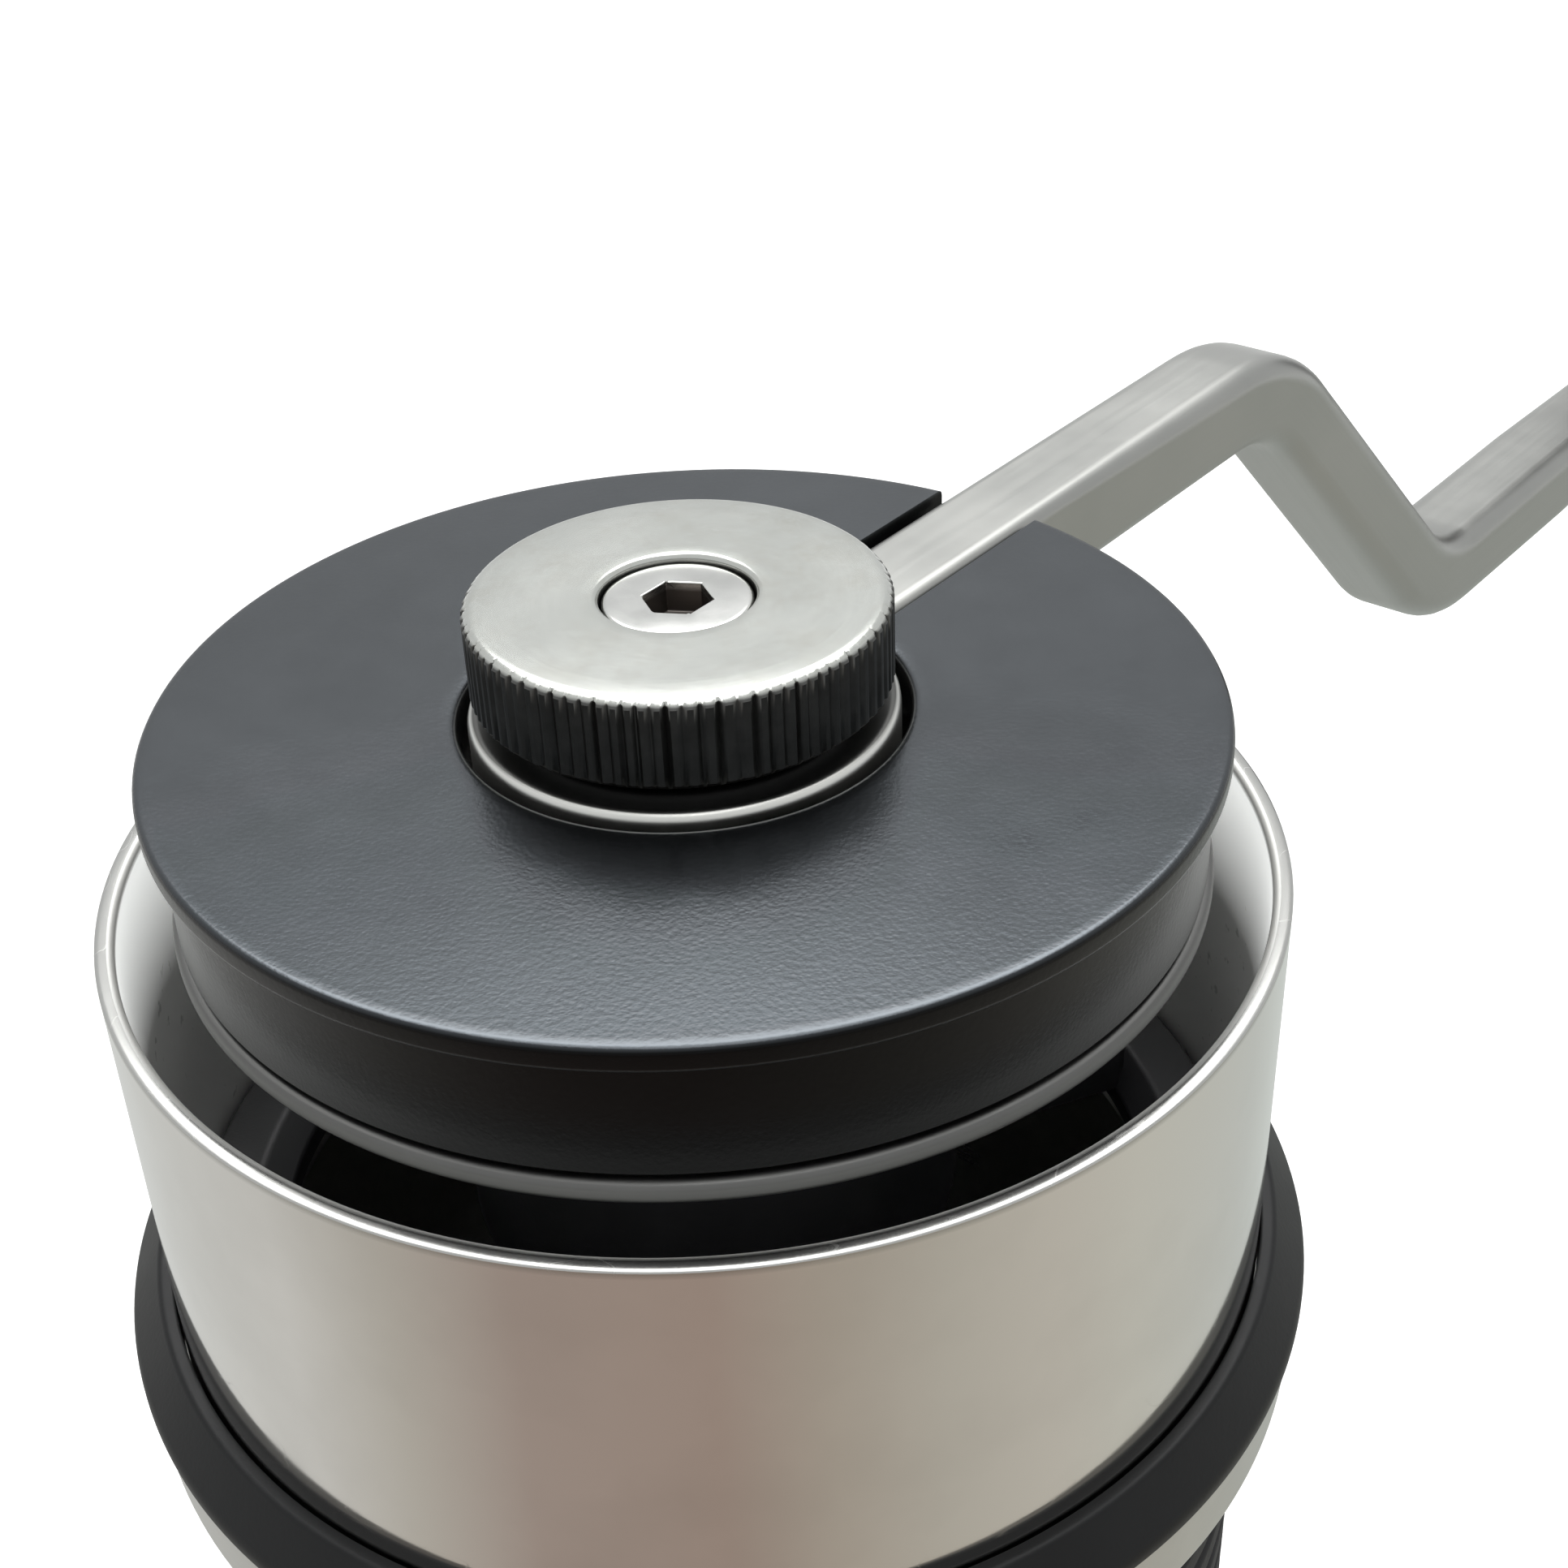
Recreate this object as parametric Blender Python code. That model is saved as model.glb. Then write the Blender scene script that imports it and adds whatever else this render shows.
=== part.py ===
"""Hand crank coffee grinder, as an assembly of its separate pieces.

The grinder stands on its catch cup. The origin is on the grinder's axis, on the table,
+Z is up and the crank arm points along +X. Sizes are in millimetres up to the helper
functions, which turn them into metres. Heights are measured from the table.
"""

import math

import bmesh
import bpy
from mathutils import Matrix, Vector

MM = 0.001
GAP = 0.3

# The lid
LID_TOP = 178.0
LID_RADIUS = 27.0
LID_EDGE = 1.3
LID_PLATE = 2.5
LID_SKIRT_RADIUS = 26.2
LID_SKIRT_WALL = 2.0
LID_SKIRT_BOTTOM = LID_TOP - 7.5
LID_HOLE_RADIUS = 11.5
LID_BOSS_BOTTOM = 172.3
LID_RING_TOP = LID_SKIRT_BOTTOM - 0.3
LID_RING_BOTTOM = LID_RING_TOP - 1.1
SLOT_WIDTH = 6.6
SLOT_START = 6.0

# The hopper and the top of the body
SHELL_RADIUS = 30.45
SHELL_WALL = 1.0
SHELL_RIM = LID_TOP - 8.8
SHELL_FOOT_RADIUS = 25.6
COLLAR_TOP = LID_TOP - 31.0
COLLAR_RADIUS = 33.1
FLANGE_RADIUS = 32.6
FLANGE_TOP = LID_TOP - 34.4
FLANGE_BOTTOM = LID_TOP - 38.8

# The crank: its nut, its hub and its bar
NUT_RADIUS = 10.5
NUT_TOP = LID_TOP + 6.2
NUT_BOTTOM = LID_TOP + 1.75
NUT_HOLE = 2.3
NUT_RECESS = 4.05
NUT_FLOOR = 1.2
WASHER_RADIUS = 8.8
HUB_RADIUS = 10.8
HUB_TOP = LID_TOP + 0.35
HUB_BOTTOM = LID_TOP - 5.7
HUB_SEAT_TOP = HUB_BOTTOM - GAP
HUB_SEAT_BOTTOM = HUB_SEAT_TOP - 2.6
HUB_SEAT_RADIUS = 14.5
ARM_MIDDLE = LID_TOP - 3.0
ARM_BEND = 57.1
ARM_SLOPE = 43.4
ARM_DROP = 28.5
ARM_BEND_RADIUS = 14.0
# The bar at some distances from the axis: distance, width, height and edge radius
ARM_SIZES = ((6.0, 5.8, 5.8, 0.9), (30.0, 5.8, 5.8, 0.9), (57.0, 6.5, 6.0, 1.6),
             (88.0, 7.5, 6.8, 1.9), (112.0, 7.5, 6.8, 1.7), (150.0, 6.2, 5.8, 1.2))
CRANK_RADIUS = 160.0
EYE_RADIUS = 6.5
EYE_MIDDLE = 145.4
EYE_HEIGHT = 6.0

# The body, the adjustment and the cup
BODY_RADIUS = 28.0
BODY_BORE = 25.0
BODY_NECK_RADIUS = 27.0
BODY_NECK_TOP = 80.0
BODY_BOTTOM = 73.7
CLIP_GROOVE = (75.3, 76.5, 26.2)
SEAL_GROOVE = (77.8, 79.2, 26.0)
SLEEVE_RADIUS = 30.2
SLEEVE_BOTTOM = 84.0
SLEEVE_TOP = 137.0
DIAL_RADIUS = 30.2
DIAL_TOP = 79.7
DIAL_BAND_TOP = 72.0
DIAL_BOTTOM = 62.9
DIAL_THREAD_TOP = 73.4
DIAL_CLIP_SEAT = 75.0
DIAL_STEP = 76.8
CARRIER_TOP = 84.0
CARRIER_BOTTOM = 54.0
CARRIER_BORE = 21.2
CARRIER_SPIGOT = 25.6
CARRIER_TUBE_RADIUS = 24.7
CARRIER_FLANGE_TOP = 62.5
CARRIER_FLANGE_BOTTOM = 58.3
KEY_HEIGHT = 81.9
KEY_RADIUS = 1.2
KEY_SLOT_BOTTOM = 79.6
CUP_RADIUS = 29.2
CUP_RIM = 58.0
CUP_RIM_INNER = 26.0
CUP_RIM_FOOT = 54.2
CUP_WALL = 1.5
CUP_FLOOR = 4.0
CUP_CORNER = 2.0
CUP_FOOT = 0.8
PAD_RADIUS = 25.0
PAD_HEIGHT = 2.2
MAGNET_RADIUS = 1.25
MAGNET_CIRCLE = 27.35
MAGNET_BOTTOM = 58.5
MAGNET_TOP = 60.6

# The shaft, the bearings, the bridges and their screws
SHAFT_RADIUS = 4.0
SHAFT_BOTTOM = 66.0
SHAFT_FLAT = 3.3
SHOULDER_RADIUS = 6.0
SHOULDER_BOTTOM = 82.3
SHOULDER_TOP = 90.2
TAP_TOP_RADIUS = 2.2
TAP_TOP_DEPTH = 12.0
TAP_BOTTOM_RADIUS = 2.9
TAP_BOTTOM_DEPTH = 10.0
SPACER_RADIUS = 5.8
BEARING_RADIUS = 11.0
BEARING_WIDTH = 7.0
BALL_RADIUS = 1.55
BALL_CIRCLE = 7.6
BALL_COUNT = 7
UPPER_BEARING = 150.0
LOWER_BEARING = 93.0
BRIDGE_HUB_RADIUS = 13.6
BRIDGE_LIP_RADIUS = 8.6
BRIDGE_RING_TOP = 147.7
BRIDGE_RING_RADIUS = 29.1
BRIDGE_RING_BORE = 24.4
LOWER_RING_BORE = 22.8
LOWER_SCREW_HEIGHT = 96.0
SPOKE_WIDTH = 5.0
SPOKE_START = 12.2
SCREW_CIRCLE = 26.95
SCREW_SHANK = 1.5
SPOKE_ANGLES = (90.0, 210.0, 330.0)
SCREW_ANGLES = (30.0, 150.0, 270.0)

# The burrs
OUTER_BURR_RADIUS = 23.5
OUTER_BURR_TOP = 80.0
OUTER_BURR_BOTTOM = 64.0
INNER_BURR_TOP = 82.0
INNER_BURR_BOTTOM = 63.3
BURR_CLAMP_TOP = 82.4
BOLT_HEAD_TOP = 61.3
BOLT_HEAD_BOTTOM = 57.2
BOLT_RADIUS = 2.5
BOLT_TIP = 74.6

# The knob
KNOB_TOP = 192.0
KNOB_BOTTOM = 149.6
KNOB_BORE = 5.6
KNOB_WAIST = 8.4
KNOB_SWELL = 5.6
KNOB_SHOULDER = 186.0
POCKET_RADIUS = 7.2
POCKET_FLOOR = 183.0
CAP_RADIUS = 8.4
CAP_BOTTOM = 189.2
SPINDLE_RADIUS = 3.0
SPINDLE_TOP = 188.5
SPINDLE_HEAD = 5.0
LOCK_NUT_BOTTOM = 184.6
LOCK_NUT_TOP = 188.0

LARGE_ROUND = 36
MEDIUM_ROUND = 24
SMALL_ROUND = 14

STEEL_POLISHED = ("polished_steel", (0.72, 0.71, 0.69), 0.08, 1.0)
STEEL_SATIN = ("satin_steel", (0.62, 0.62, 0.60), 0.30, 1.0)
STEEL_DARK = ("bearing_steel", (0.45, 0.45, 0.46), 0.25, 1.0)
BURR_STEEL = ("burr_steel", (0.38, 0.37, 0.36), 0.35, 1.0)
BLACK_LID = ("lid_black", (0.035, 0.038, 0.042), 0.50, 0.0)
BLACK_COLLAR = ("collar_black", (0.018, 0.019, 0.021), 0.60, 0.0)
BLACK_RUBBER = ("rubber_black", (0.02, 0.02, 0.02), 0.75, 0.0)
BLACK_KNOB = ("knob_black", (0.025, 0.025, 0.026), 0.45, 0.0)
BRIDGE_BLACK = ("bridge_black", (0.03, 0.03, 0.032), 0.35, 0.6)
BRASS = ("brass", (0.70, 0.52, 0.25), 0.30, 1.0)
MAGNET = ("magnet_nickel", (0.60, 0.58, 0.53), 0.25, 1.0)


def clear_scene():
    for thing in list(bpy.data.objects):
        bpy.data.objects.remove(thing, do_unlink=True)


def material(look):
    """The Principled material of one look, made once."""
    name, colour, roughness, metallic = look
    found = bpy.data.materials.get(name)
    if found:
        return found
    made = bpy.data.materials.new(name)
    made.use_nodes = True
    shader = made.node_tree.nodes["Principled BSDF"]
    shader.inputs["Base Color"].default_value = (*colour, 1.0)
    shader.inputs["Roughness"].default_value = roughness
    shader.inputs["Metallic"].default_value = metallic
    return made


def body_empty(name, x=0.0):
    """The empty that a rigid body's pieces hang from, on the body's own axis."""
    empty = bpy.data.objects.new("body_" + name, None)
    empty.location = (x * MM, 0.0, 0.0)
    bpy.context.scene.collection.objects.link(empty)
    return empty


def finished(name, bm, look, body):
    """A mesh in millimetres, seen from the body's axis, as a smooth-shaded object."""
    bmesh.ops.recalc_face_normals(bm, faces=bm.faces)
    bmesh.ops.scale(bm, vec=(MM, MM, MM), verts=bm.verts)
    mesh = bpy.data.meshes.new(name)
    bm.to_mesh(mesh)
    bm.free()
    mesh.shade_smooth()
    mesh.set_sharp_from_angle(angle=math.radians(35))
    mesh.materials.append(material(look))
    piece = bpy.data.objects.new(name, mesh)
    bpy.context.scene.collection.objects.link(piece)
    piece.parent = body
    return piece


def turned_mesh(profile, segments, centre=(0.0, 0.0), start=0.0):
    """A closed (radius, height) outline turned once round a vertical axis."""
    bm = bmesh.new()
    rings = []
    for radius, height in profile:
        if radius == 0:
            rings.append([bm.verts.new((centre[0], centre[1], height))] * segments)
            continue
        ring = []
        for i in range(segments):
            turn = start + 2 * math.pi * i / segments
            x = centre[0] + radius * math.cos(turn)
            y = centre[1] + radius * math.sin(turn)
            ring.append(bm.verts.new((x, y, height)))
        rings.append(ring)
    for a, ring in enumerate(rings):
        other = rings[(a + 1) % len(rings)]
        for i in range(segments):
            j = (i + 1) % segments
            corners = list(dict.fromkeys((ring[i], ring[j], other[j], other[i])))
            if len(corners) > 2:
                bm.faces.new(corners)
    return bm


def turned(name, profile, look, body, segments=LARGE_ROUND, centre=(0.0, 0.0)):
    return finished(name, turned_mesh(profile, segments, centre), look, body)


def ring_profile(inner, outer, bottom, top, bevel=0.0):
    """A ring's outline, with small bevels on its outer edges."""
    if not bevel:
        return [(inner, bottom), (outer, bottom), (outer, top), (inner, top)]
    return [
        (inner, bottom), (outer - bevel, bottom), (outer, bottom + bevel),
        (outer, top - bevel), (outer - bevel, top), (inner, top),
    ]


def disc_profile(outer, bottom, top, bevel=0.0):
    """A solid disc's outline, which starts and ends on the axis."""
    return [(0, bottom)] + ring_profile(0, outer, bottom, top, bevel)[1:-1] + [(0, top)]


def arc(centre_r, centre_z, radius, first, last, steps):
    """Points of an arc in an outline, with its angles in degrees from +r towards +z."""
    points = []
    for i in range(steps + 1):
        turn = math.radians(first + (last - first) * i / steps)
        points.append((centre_r + radius * math.cos(turn), centre_z + radius * math.sin(turn)))
    return points


def box_mesh(low, high):
    bm = bmesh.new()
    bmesh.ops.create_cube(bm, size=1.0)
    for v in bm.verts:
        for k in range(3):
            v.co[k] = low[k] + (v.co[k] + 0.5) * (high[k] - low[k])
    return bm


def turn_about_z(bm, degrees):
    turn = Matrix.Rotation(math.radians(degrees), 3, "Z")
    bmesh.ops.rotate(bm, matrix=turn, verts=bm.verts)
    return bm


def radial_rod_mesh(radius, inner, outer, height, degrees, segments=10):
    """A round rod that points away from the axis."""
    bm = turned_mesh(disc_profile(radius, inner, outer), segments)
    bmesh.ops.rotate(bm, matrix=Matrix.Rotation(math.radians(90), 3, "Y"), verts=bm.verts)
    turn_about_z(bm, degrees)
    bmesh.ops.translate(bm, vec=(0, 0, height), verts=bm.verts)
    return bm


def boolean(piece, bm, operation):
    """Cuts a helper mesh from a piece, or joins it on, with a Boolean modifier."""
    helper = finished(f"{piece.name}_{operation.lower()}", bm, STEEL_SATIN, piece.parent)
    helper.hide_render = True
    helper.display_type = "WIRE"
    modifier = piece.modifiers.new(operation.lower(), "BOOLEAN")
    modifier.operation = operation
    modifier.object = helper


def cut(piece, bm):
    boolean(piece, bm, "DIFFERENCE")


def join(piece, bm):
    boolean(piece, bm, "UNION")


# ---------------------------------------------------------------- hopper and body


def hopper_shell(body):
    """Thin polished tube with a rolled rim and a flange turned in at its foot."""
    inner = SHELL_RADIUS - SHELL_WALL
    rim = arc(inner + SHELL_WALL / 2, SHELL_RIM - SHELL_WALL / 2, SHELL_WALL / 2, 0, 180, 4)
    foot = FLANGE_TOP + GAP
    outline = [(SHELL_FOOT_RADIUS, foot), (SHELL_RADIUS, foot)] + rim
    outline += [(inner, foot + SHELL_WALL), (SHELL_FOOT_RADIUS, foot + SHELL_WALL)]
    shell = turned("hopper_shell", outline, STEEL_POLISHED, body, LARGE_ROUND)
    for degrees in SCREW_ANGLES:
        cut(shell, bridge_screw_hole(degrees))
    return shell


def bridge_screw_place(degrees):
    turn = math.radians(degrees)
    return SCREW_CIRCLE * math.cos(turn), SCREW_CIRCLE * math.sin(turn)


def bridge_screw_hole(degrees):
    """The hole of one screw through the bridge's ring, the shell's foot and the flange."""
    profile = disc_profile(SCREW_SHANK + GAP, FLANGE_BOTTOM + 0.6, BRIDGE_RING_TOP + 1.3)
    return turned_mesh(profile, 10, bridge_screw_place(degrees))


def thumb_collar(body):
    """Black ring whose top slopes down and out, so that a hand rests under it."""
    inner = SHELL_RADIUS + GAP
    bottom = FLANGE_TOP + GAP
    outline = [(inner, bottom), (COLLAR_RADIUS, bottom), (COLLAR_RADIUS, bottom + 0.5)]
    outline += [(COLLAR_RADIUS - 0.25, bottom + 0.85), (inner + 0.55, COLLAR_TOP), (inner, COLLAR_TOP)]
    turned("thumb_collar", outline, BLACK_COLLAR, body, LARGE_ROUND)


def main_body(body):
    """Steel tube with a wide flange on top, and a neck at its foot for the dial."""
    neck = BODY_NECK_RADIUS
    outline = [
        (BODY_BORE, BODY_BOTTOM), (neck, BODY_BOTTOM),
    ]
    for low, high, floor in (CLIP_GROOVE, SEAL_GROOVE):
        outline += [(neck, low), (floor, low), (floor, high), (neck, high)]
    outline += [
        (neck, BODY_NECK_TOP), (BODY_RADIUS, BODY_NECK_TOP),
        (BODY_RADIUS, FLANGE_BOTTOM), (FLANGE_RADIUS - 0.4, FLANGE_BOTTOM),
        (FLANGE_RADIUS, FLANGE_BOTTOM + 0.4), (FLANGE_RADIUS, FLANGE_TOP), (BODY_BORE, FLANGE_TOP),
    ]
    tube = turned("main_body", outline, STEEL_SATIN, body, LARGE_ROUND)
    for degrees in SPOKE_ANGLES:
        cut(tube, radial_rod_mesh(SCREW_SHANK + GAP, 22.0, 29.0, LOWER_SCREW_HEIGHT, degrees))
    for degrees in SCREW_ANGLES:
        cut(tube, bridge_screw_hole(degrees))
        cut(tube, radial_rod_mesh(KEY_RADIUS + GAP, 22.0, 29.0, KEY_HEIGHT, degrees))


def grip_sleeve(body):
    """Rubber sleeve for the hand, with eased ends."""
    inner = BODY_RADIUS + GAP
    outline = ring_profile(inner, SLEEVE_RADIUS, SLEEVE_BOTTOM, SLEEVE_TOP, 0.8)
    turned("grip_sleeve", outline, BLACK_RUBBER, body)


def spoke_mesh(degrees, reach, bottom, top):
    """One spoke, from inside the hub's wall to inside the ring."""
    half = SPOKE_WIDTH / 2
    return turn_about_z(box_mesh((SPOKE_START, -half, bottom), (reach, half, top)), degrees)


def bridge_hub(bottom, bearing):
    """The outline of a bridge's hub, with a pocket for a bearing and a lip below it."""
    top = bearing + BEARING_WIDTH + 1.0
    pocket = BEARING_RADIUS + GAP
    return [
        (BRIDGE_LIP_RADIUS, bottom), (BRIDGE_HUB_RADIUS, bottom), (BRIDGE_HUB_RADIUS, top - 0.8),
        (BRIDGE_HUB_RADIUS - 0.8, top), (pocket, top), (pocket, bearing - GAP),
        (BRIDGE_LIP_RADIUS, bearing - GAP),
    ]


def hopper_bridge(body):
    """Three-armed bridge across the hopper's floor, which holds the upper bearing."""
    hub = bridge_hub(UPPER_BEARING - 2.5, UPPER_BEARING)
    bridge = turned("hopper_bridge", hub, BRIDGE_BLACK, body, MEDIUM_ROUND)
    bottom = FLANGE_TOP + SHELL_WALL + 2 * GAP
    outline = [
        (BRIDGE_RING_BORE, bottom), (BRIDGE_RING_RADIUS, bottom),
        (BRIDGE_RING_RADIUS, BRIDGE_RING_TOP), (BRIDGE_RING_BORE + 1.6, BRIDGE_RING_TOP),
        (BRIDGE_RING_BORE, BRIDGE_RING_TOP - 1.3),
    ]
    join(bridge, turned_mesh(outline, LARGE_ROUND))
    for degrees in SPOKE_ANGLES:
        join(bridge, spoke_mesh(degrees, BRIDGE_RING_BORE + 0.8, bottom + 0.4, UPPER_BEARING + 2.0))
    for degrees in SCREW_ANGLES:
        cut(bridge, bridge_screw_hole(degrees))


def lower_bridge(body):
    """Three-armed bridge inside the body, which holds the lower bearing."""
    hub = bridge_hub(LOWER_BEARING - 2.0, LOWER_BEARING)
    bridge = turned("lower_bridge", hub, BRIDGE_BLACK, body, MEDIUM_ROUND)
    bottom, top = LOWER_SCREW_HEIGHT - 4.0, LOWER_SCREW_HEIGHT + 4.0
    ring = ring_profile(LOWER_RING_BORE, BODY_BORE - GAP, bottom, top)
    join(bridge, turned_mesh(ring, LARGE_ROUND))
    for degrees in SPOKE_ANGLES:
        join(bridge, spoke_mesh(degrees, LOWER_RING_BORE + 0.8, bottom + 0.4, top - 0.4))
    for degrees in SPOKE_ANGLES:
        cut(bridge, radial_rod_mesh(SCREW_SHANK + GAP, 18.0, 26.0, LOWER_SCREW_HEIGHT, degrees))


def hex_socket_mesh(centre, across_flats, bottom, top):
    """A six-sided plug, whose corners point along X."""
    corner = across_flats / math.sqrt(3)
    return turned_mesh(disc_profile(corner, bottom, top), 6, centre)


def cap_screw(name, body, centre, seat, head, socket, shank, tip):
    """A socket screw that stands upright: head (radius, height), shank radius, tip height."""
    outline = [
        (0, tip), (shank, tip), (shank, seat), (head[0], seat),
        (head[0], seat + head[1] - 0.25), (head[0] - 0.25, seat + head[1]), (0, seat + head[1]),
    ]
    screw = turned(name, outline, STEEL_SATIN, body, SMALL_ROUND, centre)
    top = seat + head[1]
    cut(screw, hex_socket_mesh(centre, socket, top - 0.6 * head[1], top + 1.0))
    return screw


def bridge_screws(body):
    for number, degrees in enumerate(SCREW_ANGLES, 1):
        place = bridge_screw_place(degrees)
        seat = BRIDGE_RING_TOP + GAP
        name = f"hopper_bridge_screw_{number}"
        cap_screw(name, body, place, seat, (2.2, 1.8), 2.0, SCREW_SHANK, FLANGE_BOTTOM + 1.2)


def lower_bridge_screws(body):
    """Screws from outside the body, whose heads lie below its surface."""
    for number, degrees in enumerate(SPOKE_ANGLES, 1):
        bm = radial_rod_mesh(SCREW_SHANK, 19.0, BODY_RADIUS - 0.1, LOWER_SCREW_HEIGHT, degrees)
        screw = finished(f"lower_bridge_screw_{number}", bm, STEEL_SATIN, body)
        ends = BODY_RADIUS - 1.6, BODY_RADIUS + 1
        cut(screw, radial_rod_mesh(0.8, *ends, LOWER_SCREW_HEIGHT, degrees, 6))


def key_pins(body):
    """Pins in the body's wall that keep the burr carrier from turning."""
    for number, degrees in enumerate(SCREW_ANGLES, 1):
        bm = radial_rod_mesh(KEY_RADIUS, 24.1, BODY_RADIUS - GAP, KEY_HEIGHT, degrees)
        finished(f"key_pin_{number}", bm, STEEL_SATIN, body)


def dial_snap_ring(body):
    """Open spring ring in the neck's groove, which keeps the dial from dropping."""
    low, high, floor = CLIP_GROOVE
    outline = ring_profile(floor + GAP, floor + 1.7, low + GAP, high - GAP)
    ring = turned("dial_snap_ring", outline, STEEL_SATIN, body, MEDIUM_ROUND)
    cut(ring, box_mesh((20, -1.5, 74), (30, 1.5, 78)))


def torus_profile(major, minor, height, sides=6):
    return arc(major, height, minor, 0, 360 - 360 / sides, sides - 1)


def dial_o_ring(body):
    middle = (SEAL_GROOVE[0] + SEAL_GROOVE[1]) / 2
    outline = torus_profile(SEAL_GROOVE[2] + 0.8, 0.45, middle)
    turned("dial_o_ring", outline, BLACK_RUBBER, body, MEDIUM_ROUND)


# ---------------------------------------------------------------- bearings


def bearing_races(prefix, bottom, outer_body, inner_body):
    """The outer and the inner race of one ball bearing, each with its ball groove."""
    top = bottom + BEARING_WIDTH
    middle = bottom + BEARING_WIDTH / 2
    reach = BALL_RADIUS + GAP
    groove = arc(BALL_CIRCLE, middle, reach, 40, -40, 4)
    outer_wall = groove[0][0]
    outline = [(outer_wall, bottom), (BEARING_RADIUS, bottom), (BEARING_RADIUS, top), (outer_wall, top)]
    turned(prefix + "_bearing_outer_race", outline + groove, STEEL_DARK, outer_body, 24)
    groove = arc(BALL_CIRCLE, middle, reach, 140, 220, 4)
    inner_wall = groove[0][0]
    bore = SHAFT_RADIUS + GAP
    outline = [(inner_wall, bottom), (bore, bottom), (bore, top), (inner_wall, top)]
    turned(prefix + "_bearing_inner_race", outline + groove, STEEL_DARK, inner_body, 20)


def bearing_balls(prefix, bottom, body):
    """The cage of one ball bearing with its balls."""
    middle = bottom + BEARING_WIDTH / 2
    cage = turned(
        prefix + "_bearing_balls",
        ring_profile(BALL_CIRCLE - 0.4, BALL_CIRCLE + 0.4, middle - 0.6, middle + 0.6),
        STEEL_DARK, body, 14,
    )
    for k in range(BALL_COUNT):
        turn = 2 * math.pi * k / BALL_COUNT
        ball = bmesh.new()
        bmesh.ops.create_uvsphere(ball, u_segments=6, v_segments=5, radius=BALL_RADIUS)
        place = (BALL_CIRCLE * math.cos(turn), BALL_CIRCLE * math.sin(turn), middle)
        bmesh.ops.translate(ball, vec=place, verts=ball.verts)
        join(cage, ball)


# ---------------------------------------------------------------- crank and shaft


def drive_shaft(body):
    """Shaft with a shoulder for the lower bearing, and two flats that drive the crank's hub."""
    outline = [
        (0, SHAFT_BOTTOM), (SHAFT_RADIUS, SHAFT_BOTTOM), (SHAFT_RADIUS, SHOULDER_BOTTOM),
        (SHOULDER_RADIUS, SHOULDER_BOTTOM), (SHOULDER_RADIUS, SHOULDER_TOP),
        (SHAFT_RADIUS, SHOULDER_TOP), (SHAFT_RADIUS, LID_TOP - 0.4), (SHAFT_RADIUS - 0.4, LID_TOP),
        (0, LID_TOP),
    ]
    shaft = turned("drive_shaft", outline, STEEL_SATIN, body, SMALL_ROUND)
    upper_tap = disc_profile(TAP_TOP_RADIUS, LID_TOP - TAP_TOP_DEPTH, LID_TOP + 1)
    lower_tap = disc_profile(TAP_BOTTOM_RADIUS, SHAFT_BOTTOM - 1, SHAFT_BOTTOM + TAP_BOTTOM_DEPTH)
    cut(shaft, turned_mesh(upper_tap, 12))
    cut(shaft, turned_mesh(lower_tap, SMALL_ROUND))
    for degrees in (0, 180):
        flat = box_mesh((SHAFT_FLAT, -5.0, HUB_BOTTOM - 0.15), (5.0, 5.0, LID_TOP + 1))
        cut(shaft, turn_about_z(flat, degrees))


def wave_washer(body):
    """Thin sprung washer with three waves, under the lower bearing's inner race."""
    middle = (SHOULDER_TOP + LOWER_BEARING) / 2
    outline = ring_profile(SHAFT_RADIUS + GAP, SHOULDER_RADIUS, middle - 0.2, middle + 0.1)
    bm = turned_mesh(outline, 30)
    for v in bm.verts:
        v.co.z += 0.7 * math.sin(3 * math.atan2(v.co.y, v.co.x))
    finished("wave_washer", bm, STEEL_SATIN, body)


def shaft_spacer(body):
    bottom, top = UPPER_BEARING + BEARING_WIDTH + GAP, HUB_SEAT_BOTTOM - GAP
    outline = ring_profile(SHAFT_RADIUS + GAP, SPACER_RADIUS, bottom, top)
    turned("shaft_spacer", outline, STEEL_SATIN, body, SMALL_ROUND)


def hub_collar(body):
    """Round seat on the shaft, under the crank's hub and the lid's boss."""
    outline = ring_profile(SHAFT_RADIUS + GAP, HUB_SEAT_RADIUS, HUB_SEAT_BOTTOM, HUB_SEAT_TOP, 0.4)
    turned("hub_collar", outline, STEEL_SATIN, body, MEDIUM_ROUND)


def round_bend(corner, way_in, way_out, steps=4):
    """Points of the round bend in the bar's line where it turns at a corner."""
    turn = way_in.angle(way_out)
    side = 1 if way_in.cross(way_out) > 0 else -1
    inward = Vector((-way_in.y, way_in.x)) * side
    start = corner - way_in * ARM_BEND_RADIUS * math.tan(turn / 2)
    middle = start + inward * ARM_BEND_RADIUS
    points = []
    for k in range(steps + 1):
        part = turn * k / steps
        reach = way_in * math.sin(part) - inward * math.cos(part)
        points.append(middle + reach * ARM_BEND_RADIUS)
    return points


def arm_route():
    """The line along the middle of the bar, as (x, z) points with its two bends."""
    slope = math.radians(ARM_SLOPE)
    level = Vector((1.0, 0.0))
    fall = Vector((math.cos(slope), -math.sin(slope)))
    first = Vector((ARM_BEND, ARM_MIDDLE))
    second = first + fall * (ARM_DROP / math.sin(slope))
    last = Vector((CRANK_RADIUS - 3.0, EYE_MIDDLE))
    run = last - second
    points = [Vector((size[0], ARM_MIDDLE)) for size in ARM_SIZES[:2]]
    points += round_bend(first, level, fall) + round_bend(second, fall, run.normalized())
    points += [second + run * ((size[0] - second.x) / run.x) for size in ARM_SIZES[-2:]]
    return points + [last]


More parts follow.
